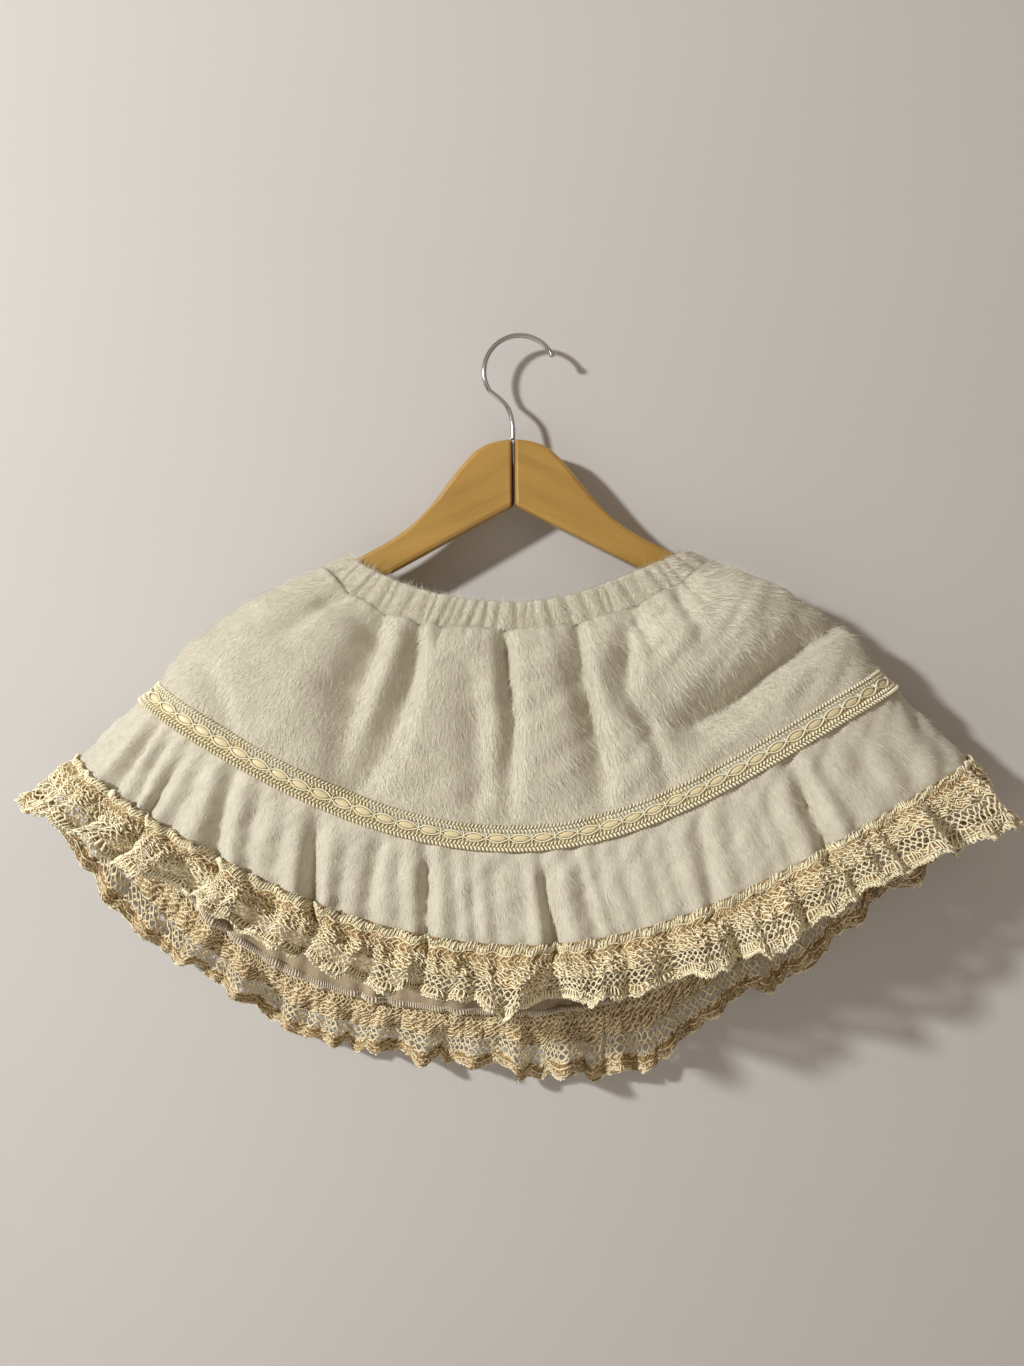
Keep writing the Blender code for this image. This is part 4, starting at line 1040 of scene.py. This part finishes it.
def fleece_finish(name, light, shade, specks=True):
    """Brushed fleece: matted streaks that run down the cloth, and a few dark specks."""
    cloth = Finish(name, 0.95, Sheen_Weight=0.35, Sheen_Roughness=0.55)
    streaks = cloth.noise(cloth.on_cloth(900.0, 130.0), detail=3.0, Roughness=0.6, Distortion=1.2)
    mats = cloth.noise(cloth.on_cloth(110.0, 70.0), detail=4.0, Roughness=0.62, Distortion=0.8)
    colour = cloth.blend(cloth.ramp(0.55 * streaks + 0.45 * mats, 0.36, 0.62), shade, light)
    if specks:
        grain = cloth.add("TexVoronoi", {
            "Vector": cloth.on_cloth(26.0, 26.0), "Scale": 1.0}, "Distance")
        few = cloth.add("Math", {0: cloth.noise(cloth.on_cloth(9.0, 9.0)), 1: 0.60},
                        operation="GREATER_THAN")
        spot = cloth.ramp(grain, 0.014, 0.024, falling=True)
        colour = cloth.blend(spot * few * 0.85, colour, (0.06, 0.04, 0.03))
    cloth.feed("Base Color", colour)
    cloth.bump(0.75, 1.1 * MM, 0.5 * streaks + 0.7 * mats)
    return cloth.material


def hair_finish(name, light, shade):
    """Single brushed hairs, each with its own tint."""
    hair = Finish(name, 0.75, Sheen_Weight=0.3, Sheen_Roughness=0.5)
    patches = hair.noise(hair.on_object(), 60.0)
    hair.feed("Base Color", hair.blend(0.6 * hair.kept("tint") + 0.4 * patches, shade, light))
    return hair.material


def shaded_thread_finish(name, light, deep, low, high):
    """Twisted cotton thread, with painted shade: darker the lower a thread lies in the work, bright
    where it stands out.
    """
    cotton = Finish(name, 0.82, Sheen_Weight=0.45, Sheen_Roughness=0.5)
    blotches = cotton.noise(cotton.on_object(), 55.0, 3.0, Roughness=0.6)
    fibres = cotton.noise(cotton.on_object(), 1100.0, Roughness=0.7)
    # Painted shade: threads that lie low in the work take the deep colour, as if shadowed by those
    # above them.
    share = 0.75 * cotton.ramp(cotton.kept("height"), low * MM, high * MM)
    share = share + 0.5 * (blotches - 0.5) + 0.35 * (fibres - 0.5) + 0.12
    cotton.feed("Base Color", cotton.blend(cotton.add("Clamp", {"Value": share}), deep, light))
    cotton.bump(0.8, 0.35 * MM, fibres)
    return cotton.material


def shaded_close_work_finish(name, light, deep, across, down):
    """Closely worked cotton behind the threads: rows of small loops, with painted shade in the gaps
    between them.
    """
    work = Finish(name, 0.9)
    loops = work.add("TexVoronoi", {
        "Vector": work.on_cloth(across, down), "Scale": 1.0, "Randomness": 0.75}, "Distance")
    rows = work.noise(work.on_cloth(across * 0.35, down), detail=3.0, Distortion=1.0)
    # Painted shade: the gaps between the loops take the deep colour.
    share = work.ramp(0.9 * loops + 0.6 * rows, 0.45, 0.95, falling=True)
    work.feed("Base Color", work.blend(share, deep, light))
    work.bump(0.9, 0.8 * MM, share)
    return work.material


def ribbon_finish():
    """Satin filling of the braid's ovals: fine threads that shine along the oval."""
    satin = Finish("satin ribbon", 0.42, Sheen_Weight=0.2)
    threads = satin.noise(satin.on_cloth(300.0, 2600.0))
    satin.feed("Base Color", satin.blend(threads, (0.58, 0.49, 0.28), (0.80, 0.71, 0.46)))
    satin.bump(0.4, 0.2 * MM, threads)
    return satin.material


def wood_finish(name, turn):
    """Oiled pale wood: long grain, fine pores and a warmer tone in places."""
    wood = Finish(name, 0.42, Coat_Weight=0.25, Coat_Roughness=0.25)
    spot = wood.on_object()
    from_middle = wood.add("Math", {0: wood.add("SeparateXYZ", {0: spot}) - NECK_X},
                           operation="ABSOLUTE")
    seam, worn = (wood.ramp(from_middle, near * MM, far * MM, falling=True)
                  for near, far in ((0.9, 2.0), (2.6, 4.4)))
    place = wood.add("Mapping", {"Vector": spot, "Rotation": (0.0, turn, 0.0)})
    grain = wood.noise(wood.vector("MULTIPLY", place, (9.0, 120.0, 120.0)), detail=5.0,
                       Roughness=0.6, Distortion=0.4)
    pores = wood.noise(wood.vector("MULTIPLY", place, (70.0, 1500.0, 1500.0)))
    tone = wood.noise(place, 14.0)
    share = wood.add("Clamp", {"Value": 0.7 * grain + 0.5 * tone + 0.2 * pores - 0.2})
    colour = wood.blend(share, (0.24, 0.125, 0.022), (0.51, 0.31, 0.068))
    wood.feed("Base Color", wood.blend(seam, colour, (0.03, 0.014, 0.005)))
    wood.feed("Roughness", 0.36 + 0.18 * pores + 0.45 * worn)
    wood.feed("Coat Weight", 0.25 - 0.25 * worn)
    wood.bump(0.25, 0.15 * MM, pores)
    return wood.material


def chrome_finish():
    """Polished wire with faint drawing marks."""
    wire = Finish("chrome wire", 0.12, Metallic=1.0, Base_Color=(0.52, 0.52, 0.53, 1.0))
    wire.feed("Roughness", 0.08 + 0.14 * wire.noise(wire.on_object(), 420.0, 3.0))
    return wire.material


# Pieces


def waistband(finish):
    """The gathered casing over its elastic, a ring that is closed round its rounded edge."""
    front, back = (np.arange(BAND_COLUMNS[side]) / BAND_COLUMNS[side] for side in SIDES)
    points = np.array([
        np.concatenate((band_row("front", front, *row), band_row("back", 1 - back, *row)))
        for row in BAND_PROFILE[:, :3]])
    front_length, back_length = (length_of(0.5, side) for side in SIDES)
    run = np.concatenate((front * front_length, back * back_length + front_length))
    fall = np.cumsum(BAND_PROFILE[:, 3])[:, None] * MM
    uv = np.stack(np.broadcast_arrays(run, fall), axis=-1)
    faces = grid_faces(*points.shape[:2], closed_rows=True, closed_columns=True)
    return new_piece("waistband_casing", points, faces, uv, [finish])


def hairy(name, cloth, distance, tree, blades, finish, thick=1.0):
    """Brushed hair over a sheet of cloth."""
    kind, side = name.rsplit("_", 1)
    density, shortest, longest, width, lift, stray, seed = HAIR[kind]
    swirl = HAIR_TURN * unevenness(cloth.run, cloth.fall, 5 + len(name), 0.11, 0.02)
    comb = unit(cloth.down * np.cos(swirl)[..., None] + cloth.across * np.sin(swirl)[..., None])
    host = new_piece(name + "_roots", cloth.moved_out(distance),
                     grid_faces(*cloth.points.shape[:2], cloth.side))
    store(host.data, "comb", comb.reshape(-1, 3))
    store(host.data, "thick", np.broadcast_to(thick, cloth.run.shape).reshape(-1))
    return made_by(tree, name, host, {
        "Blades": blades, "Density": density[SIDES.index(side)], "Shortest": shortest * MM,
        "Longest": longest * MM, "Width": width * MM, "Lift": lift, "Stray": stray,
        "Seed": seed[SIDES.index(side)], "Material": finish})


def hair_blades():
    """Three single hairs, 1 long and 1 wide, that differ in how they bend."""
    group = bpy.data.collections.new("blades")
    for number, (bend, rise) in enumerate(((-0.10, 0.10), (0.03, 0.16), (0.13, 0.07))):
        corners = [(x + bend * 8 * y * y, y, z * rise) for x, y, z in (
            (-0.5, 0.0, 0.0), (0.5, 0.0, 0.0), (0.42, 0.55, 0.3), (-0.42, 0.55, 0.3),
            (0.0, 1.0, 1.0))]
        mesh = bpy.data.meshes.new("blade_%d" % number)
        mesh.from_pydata(corners, [], [(0, 1, 2, 3), (3, 2, 4)])
        mesh.shade_smooth()
        group.objects.link(bpy.data.objects.new("blade_%d" % number, mesh))
    return group


def thread(x, y, z, radius):
    """A thread from its three coordinates, each a row of numbers or one number for all."""
    return np.stack(np.broadcast_arrays(x, y, z), axis=1), radius


def placed(shape, x, y, radius):
    """A thread of (x, y, z) points, moved across and down."""
    return [(x + dx, y + dy, dz) for dx, dy, dz in shape], radius


def wave_row(middle, swing, turns, start, height, radius):
    """A thread that runs across a lace tile in waves, over and under its neighbours."""
    x = np.linspace(0.0, LACE_TILE, 14)
    turn = 2 * math.pi * turns * x / LACE_TILE + start
    return thread(x, middle + swing * np.sin(turn), height + 0.6 * np.cos(turn), radius)


def heading_paths():
    """A scalloped rim of seven fat slanting loops along the lace's heading."""
    def scallop(x):
        return 1.1 * np.cos(2 * math.pi * x / LACE_TILE)

    loop = ((-0.3, 5.6, 0.1), (0.1, 3.6, 1.2), (0.7, 1.6, 1.9), (1.6, 1.0, 1.6), (2.0, 2.3, 1.0),
            (1.5, 4.4, 0.5), (1.2, 6.0, 0.0))
    paths = [placed(loop, x, scallop(x), 0.66) for x in np.arange(7) * LACE_TILE / 7]
    x = np.linspace(0.0, LACE_TILE, 15)
    ripple = 0.4 * np.sin(np.arange(15) * 2.2)
    return paths + [thread(x, middle + scallop(x), height + ripple, radius)
                    for middle, height, radius in ((2.9, 0.4, 0.6), (5.9, 0.5, 0.62))]


def net_paths():
    """A web of round cells."""
    x = np.linspace(0.0, LACE_TILE, 17)
    turn = 2 * math.pi * x / LACE_REPEAT
    return [thread(x, middle + sign * 2.0 * np.cos(turn + start),
                   0.2 + 0.3 * sign * np.sin(turn), 0.5)
            for middle, start in ((8.5, 0.0), (12.1, math.pi)) for sign in (-1, 1)]


def close_paths():
    """Dense wavy rows with short fat threads caught across them."""
    rows = ((14.4, 0.7, 3), (16.0, 1.0, 2), (17.7, 0.7, 4), (19.4, 1.1, 3), (21.2, 0.8, 2),
            (22.9, 1.0, 4), (24.6, 0.8, 3), (26.1, 0.7, 2))
    paths = [wave_row(*row, 1.9 * number, 0.5, 0.6) for number, row in enumerate(rows)]
    for number, (x, y) in enumerate(((1.5, 14.6), (5.2, 17.4), (9.4, 15.0), (13.6, 17.8),
                                     (3.2, 20.8), (7.8, 22.2), (11.8, 20.6), (15.9, 22.4))):
        lean = 1.6 if number % 2 else -1.3
        paths.append(placed(((0.0, 0.0, 0.1), (lean * 0.5, 1.4, 1.9), (lean, 3.0, 0.1)), x, y, 0.66))
    return paths


def diamond_paths():
    """Staggered open diamonds with a knot where their threads cross."""
    x = np.linspace(0.0, LACE_TILE, 13)
    turn = 2 * math.pi * x / LACE_REPEAT
    peaked = np.sign(np.cos(turn)) * np.abs(np.cos(turn)) ** 0.8
    paths = [thread(x, middle + sign * 2.3 * peaked, 0.3 * sign * np.sin(turn), 0.6)
             for middle in (29.3, 33.9) for sign in (-1, 1)]
    return paths + [placed(((-0.3, 30.6, 0.3), (0.3, 32.6, 0.3)), x, 0.0, 0.8)
                    for x in np.arange(4) * LACE_REPEAT / 2]


def fan_paths():
    """One broad fan: seven ribs, rows that follow its rim, and a comb of fat loops round it."""
    def rim(x):
        return 43.6 + 3.0 * np.sin(math.pi * np.clip(x / LACE_TILE, 0.0, 1.0)) ** 0.8

    paths = []
    for x in (np.arange(7) + 0.5) * LACE_TILE / 7:
        edge = rim(x)
        lean = (x - LACE_REPEAT) * 0.10
        rib = ((-3.0 * lean, 36.3, 0.1), (-1.4 * lean, 38.6, 1.2), (-0.4 * lean, edge - 3.6, 1.5),
               (0.0, edge - 1.6, 0.6))
        comb = ((-0.75, -2.6, 0.3), (-0.85, 0.6, 1.3), (-0.1, 2.4, 1.6), (0.75, 1.4, 1.4),
                (0.55, -2.4, 0.4))
        paths += [placed(rib, x, 0.0, 0.58), placed(comb, x, edge, 0.62)]
    x = np.linspace(0.0, LACE_TILE, 15)
    for inset, height, radius in ((0.2, 0.5, 0.6), (3.2, 0.9, 0.62), (5.0, 0.4, 0.55)):
        ripple = 0.45 * np.sin(np.arange(15) * 2.4 + inset)
        paths.append(thread(x, rim(x) - inset, height + ripple, radius))
    return paths + [wave_row(37.0, 0.7, 3, 0.0, 0.6, 0.58)]


def lace_paths(sunk):
    """The threads of one lace tile: heading, net, close rows, diamonds and a fan."""
    paths = heading_paths() + net_paths() + close_paths() + diamond_paths() + fan_paths()
    return [(np.array(path) - (0.0, 0.0, sunk), radius) for path, radius in paths]


def braid_paths():
    """The stitches of one braid tile: rows of slanting ones, and the cords round its oval."""
    x = np.linspace(0.0, BRAID_PITCH, 11)
    bow = 2.9 * np.abs(np.sin(math.pi * x / BRAID_PITCH)) ** 0.85
    paths = [thread(x, BRAID_MIDDLE + sign * bow, 1.3, 0.62) for sign in (-1, 1)]
    paths.append(([(0.0, 6.2, 0.6), (0.2, BRAID_MIDDLE, 1.7), (0.0, 12.0, 0.6)], 0.66))
    rows = ((1.4, 1.3, 0.8), (4.2, 1.1, 0.74), (13.9, 1.1, 0.76), (16.7, 1.6, 0.9))
    for number, (middle, height, radius) in enumerate(rows):
        slant = 0.75 if number % 2 else -0.75
        stitch = ((-slant, -1.2, 0.0), (-0.2 * slant, -0.3, height),
                  (0.4 * slant, 0.5, 0.9 * height), (slant, 1.2, 0.0))
        paths += [placed(stitch, (place + 0.5 * (number % 2)) * BRAID_PITCH / BRAID_STITCHES,
                         middle, radius) for place in range(BRAID_STITCHES)]
    return paths


def oval_tile():
    """The domed satin filling of one oval."""
    around = 20
    corners = [(BRAID_PITCH / 2, BRAID_MIDDLE, 1.25)]
    for ring, lift in ((0.6, 1.05), (1.0, 0.25)):
        for turn in np.arange(around) * 2 * math.pi / around:
            wide = ring * 2.6 * (1 - 0.35 * math.cos(turn) ** 4)
            corners.append((BRAID_PITCH / 2 + ring * 6.9 * math.cos(turn),
                            BRAID_MIDDLE + wide * math.sin(turn), lift))
    faces = []
    for step in range(1, 1 + around):
        beside = step % around + 1
        faces += [(0, beside, step), (step, beside, around + beside, around + step)]
    faces.append(tuple(range(1 + around, 1 + 2 * around)))
    return new_piece("oval_tile", np.array(corners) * MM, faces)


def overlock_paths():
    """Fat slanting wraps over the hem's edge, between two rows of thread."""
    wrap = ((0.0, 0.2, 0.2), (0.4, 1.6, 1.7), (0.9, 4.4, 2.0), (1.3, 6.0, 0.6))
    x = np.linspace(0.0, WRAPS * WRAP_PITCH, 13)
    return ([placed(wrap, number * WRAP_PITCH, 0.0, 0.8) for number in range(WRAPS)]
            + [thread(x, middle + 0.3 * np.sin(x * 2), 0.5, 0.5) for middle in (0.6, 6.0)])


def hook(finish):
    """The wire hook with its small ball end."""
    crook = np.stack((CROOK_X + CROOK_RADIUS * np.cos(CROOK_TURNS),
                      WIRE_RADIUS - CROOK_RADIUS + CROOK_RADIUS * np.sin(CROOK_TURNS)), axis=1)
    stem = np.vstack((crook[-1], np.array(STEM_ROUTE) * MM, (NECK_X, NECK_Z + SEAT_GAP)))
    wire = np.insert(np.vstack((crook, through(stem, 6)[1:])), 1, 0.0, axis=1)
    turns = np.linspace(0.0, math.pi * 0.75, 8)
    ball = wire[0] + unit(wire[0] - wire[1]) * (BALL_AHEAD + BALL_RADIUS * np.cos(turns))[:, None]
    route = np.vstack((ball, wire))
    radii = np.concatenate((np.maximum(BALL_RADIUS * np.sin(turns), 0.02 * MM),
                            np.full(len(wire), WIRE_RADIUS)))
    beside = np.array((0.0, 1.0, 0.0))
    above = np.cross(unit(np.gradient(route, axis=0)), beside)[:, None]
    around = (np.arange(WIRE_SIDES) * 2 * math.pi / WIRE_SIDES)[:, None]
    circles = np.cos(around) * beside + np.sin(around) * above
    corners = route[:, None] + radii[:, None, None] * circles
    faces = grid_faces(len(route), WIRE_SIDES, closed_columns=True)
    last = (len(route) - 1) * WIRE_SIDES
    faces += [tuple(range(WIRE_SIDES)), tuple(last + turn for turn in reversed(range(WIRE_SIDES)))]
    return new_piece("wire_hook", corners, faces, materials=[finish])


def attach(piece, slot, *nodes):
    """A finished piece: it rides on the one body, and the CAD nodes given are hidden. The slot is not
    used.
    """
    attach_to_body(piece, "root")
    if nodes:
        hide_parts(*nodes)
    return piece


def lamp(name, place, aim, size, power, colour):
    """A round soft lamp that looks at a place."""
    light = bpy.data.lights.new(name, "AREA")
    light.shape = "DISK"
    light.size, light.energy, light.color = size, power, colour
    holder = bpy.data.objects.new(name, light)
    holder.location = place
    x, y, z = np.array(aim) - np.array(place)
    pitch = math.atan2(z, math.hypot(x, y))
    holder.rotation_euler = (math.pi / 2 + pitch, 0.0, -math.atan2(x, y))
    bpy.context.scene.collection.objects.link(holder)


def scenery():
    """A pale wall and floor, soft light from the upper left, and the camera."""
    scene = bpy.context.scene
    wide, floor_z, foot_y, head_y, head_z = 3.0, -1.05, 0.0747, -0.145, 3.0
    paint = Finish("pale wall", 0.9)
    mottle = paint.noise(paint.on_object(), 3.0, 4.0)
    paint.feed("Base Color", paint.blend(mottle, (0.51, 0.50, 0.487), (0.545, 0.534, 0.52)))
    behind = paint.add("NewGeometry", out="Backfacing")
    mixed = paint.add("MixShader", {0: behind, 2: paint.add("BsdfTransparent")}).socket
    paint.tree.links.new(paint.shader.outputs[0], mixed.node.inputs[1])
    paint.tree.links.new(mixed, paint.tree.nodes["Material Output"].inputs[0])
    wall = new_piece("backdrop", [
        (-wide, foot_y, floor_z), (wide, foot_y, floor_z), (wide, head_y, head_z),
        (-wide, head_y, head_z)], [(0, 1, 2, 3)], materials=[paint.material], smooth=False)
    # Seen from behind it is clear, so it lets the back lamp's light through too
    wall.visible_shadow = False
    paint = Finish("pale floor", 0.85, Base_Color=(0.66, 0.64, 0.62, 1.0))
    floor = new_piece("floor", [
        (-wide, -wide, floor_z), (wide, -wide, floor_z), (wide, wide, floor_z),
        (-wide, wide, floor_z)], [(0, 1, 2, 3)], materials=[paint.material], smooth=False)

    lamp("key", (-1.75, -1.46, 0.50), (0.0, 0.0, -0.32), 0.18, 58.5, (1.0, 0.995, 0.975))
    lamp("fill", (0.6, -2.2, 0.9), (0.0, 0.0, -0.35), 1.8, 4.8, (1.0, 0.77, 0.58))
    lamp("back", (0.5, 1.9, 0.7), (0.0, 0.0, -0.35), 1.6, 10.0, (1.0, 0.97, 0.94))
    scene.world = bpy.data.worlds.new("room")
    scene.world.use_nodes = True
    air = scene.world.node_tree.nodes["Background"].inputs
    air["Color"].default_value = (1.0, 0.82, 0.67, 1.0)
    air["Strength"].default_value = 0.245
    scene.view_settings.view_transform = "Standard"

    lens = bpy.data.cameras.new("camera")
    lens.lens = 26.0
    lens.sensor_width = 34.6
    camera = bpy.data.objects.new("camera", lens)
    camera.location = (-0.005, -0.74, -0.2488)
    camera.rotation_euler = (math.pi / 2, 0.0, 0.0)
    scene.collection.objects.link(camera)
    scene.camera = camera


def main():
    """Build the scenery, the finishes and then each piece, side by side."""
    seat_rings_on_arms()
    scenery()
    fleece = fleece_finish("white fleece", (0.62, 0.592, 0.49), (0.50, 0.468, 0.37))
    # The inner side is a darker, browner copy of the white fleece: painted shade for the skirt's
    # inside.
    inside = fleece_finish("inner side", (0.42, 0.335, 0.22), (0.33, 0.255, 0.155), False)
    hair = hair_finish("white hair", (0.80, 0.77, 0.65), (0.67, 0.635, 0.515))
    # The second colour of each thread is its painted shade, for where the thread lies low in the work.
    cotton = shaded_thread_finish("cotton thread", (0.98, 0.92, 0.66), (0.74, 0.565, 0.29), -2.2, 0.7)
    braid_cord = shaded_thread_finish("braid cord", (0.95, 0.91, 0.67), (0.78, 0.68, 0.43), -1.2, 0.9)
    white_thread = shaded_thread_finish("white thread", (0.78, 0.68, 0.52), (0.56, 0.46, 0.32), -0.6, 1.0)
    # Both close works paint shade into the gaps between their loops. The close lace is also dark brown
    # all over: painted shade for the recesses behind the lace threads, not the cotton's own colour.
    shaded_close_lace = shaded_close_work_finish("close lace", (0.58, 0.42, 0.20), (0.22, 0.13, 0.045), 520.0, 520.0)
    knit = shaded_close_work_finish("knitted braid", (0.82, 0.71, 0.44), (0.53, 0.42, 0.21), 720.0, 620.0)
    ribbon = ribbon_finish()
    lay, brush, blades = lay_tree(), pile_tree(), hair_blades()
    tiles = {
        "lace_front": thread_tile("front_lace_tile", lace_paths(0.1)),
        # The back tile sits lower, so its threads also take more of the painted shade.
        "lace_back": thread_tile("back_lace_tile", lace_paths(0.7)),
        "braid": thread_tile("braid_tile", braid_paths()),
        "ovals": oval_tile(),
        "overlock": thread_tile("overlock_tile", overlock_paths()),
    }

    def laid(name, host, tile, finish, count, sizes, seed, slot, mirrored):
        """Threads laid on a sheet. The sizes are pitch, depth, wobble and its length."""
        values = dict(zip(("Pitch", "Depth", "Wobble", "Wobble Length"), np.array(sizes) * MM))
        attach(made_by(lay, name, host, {**values, "Tile": tiles[tile], "Material": finish,
                                         "Count": count, "Seed": seed}, mirrored), slot)

    attach(waistband(fleece), "fleece", "waistband")
    for side in SIDES:
        front = side == "front"
        attach(hairy("waistband_hair_" + side, band_face(side), 0.0, brush, blades, hair), "fleece")
        upper = upper_cloth(side)
        piece = attach(shell("upper_tier_" + side, [upper], FLEECE_THICKNESS, fleece, inside),
                       "fleece", "upper_" + side)
        # No hair grows on the last rows, which lie under the braid
        thick = np.clip((0.93 - np.linspace(0.0, 1.0, len(upper.points))) / 0.05, 0.0, 1.0)
        attach(hairy("upper_hair_" + side, upper, FLEECE_THICKNESS / 2, brush, blades, hair,
                     thick[:, None]), "fleece")
        levels = np.concatenate((np.linspace(UPPER_END, 6.6, 10)[:-1],
                                 np.linspace(6.6, RUFFLE_END, 14)))
        ruffle = ruffle_cloth(side, levels, 290)
        piece = attach(shell("ruffle_tier_" + side, [ruffle], RUFFLE_THICKNESS, fleece, inside),
                       "fleece", "ruffle_" + side)
        attach(hairy("ruffle_hair_" + side, ruffle, RUFFLE_THICKNESS / 2, brush, blades, hair),
               "fleece")

        edge = ruffle_cloth(side, np.linspace(RUFFLE_END - 0.26, RUFFLE_END + 0.02, 4), 420)
        pitch = WRAPS * WRAP_PITCH
        laid("overlock_" + side, carrier(edge, RUFFLE_THICKNESS / 2, -1), "overlock", white_thread,
             round(length_of(HEM, side) / MM / pitch), (pitch, 6.6, 0.5, 4.0), 2.3, "fleece", not front)

        braid = braid_cloth(side)
        piece = attach(shell("braid_" + side, [braid], BRAID_THICKNESS, knit),
                       "cotton", "trim_" + side)
        for name, tile, finish in (("cords", "braid", braid_cord), ("ovals", "ovals", ribbon)):
            laid("braid_%s_%s" % (name, side), carrier(braid, BRAID_THICKNESS / 2), tile, finish,
                 BRAID_OVALS[side], (BRAID_PITCH, BRAID_DEPTH, 0.35, 3.0), 0.3, "cotton", front)

        laid("lace_threads_" + side, carrier(lace_cloth(side, 900, np.linspace(0.0, 1.0, 31))),
             "lace_" + side, cotton, LACE_TILES, (LACE_TILE, LACE_DEPTH, 1.5, 6.0),
             0.7 if front else 1.9, "cotton", front)
        bands = [lace_cloth(side, 520, np.linspace(start, end, rows) / LACE_DEPTH)
                 for start, end, rows in LACE_CLOSE_BANDS]
        piece = attach(shell("lace_" + side + "_ground", bands, LACE_THICKNESS, shaded_close_lace),
                       "cotton", "lace_" + side)

    for helper in (*tiles.values(), *blades.objects):
        bpy.data.objects.remove(helper)
    bpy.data.collections.remove(blades)

    for side, turn in GRAIN_TURN.items():
        arm = frame["nodes"]["hanger_arm_" + side]
        arm.data.materials.clear()
        arm.data.materials.append(wood_finish("oiled wood " + side, turn))
    attach(hook(chrome_finish()), "chrome", "hook")

    bpy.context.view_layer.update()


main()
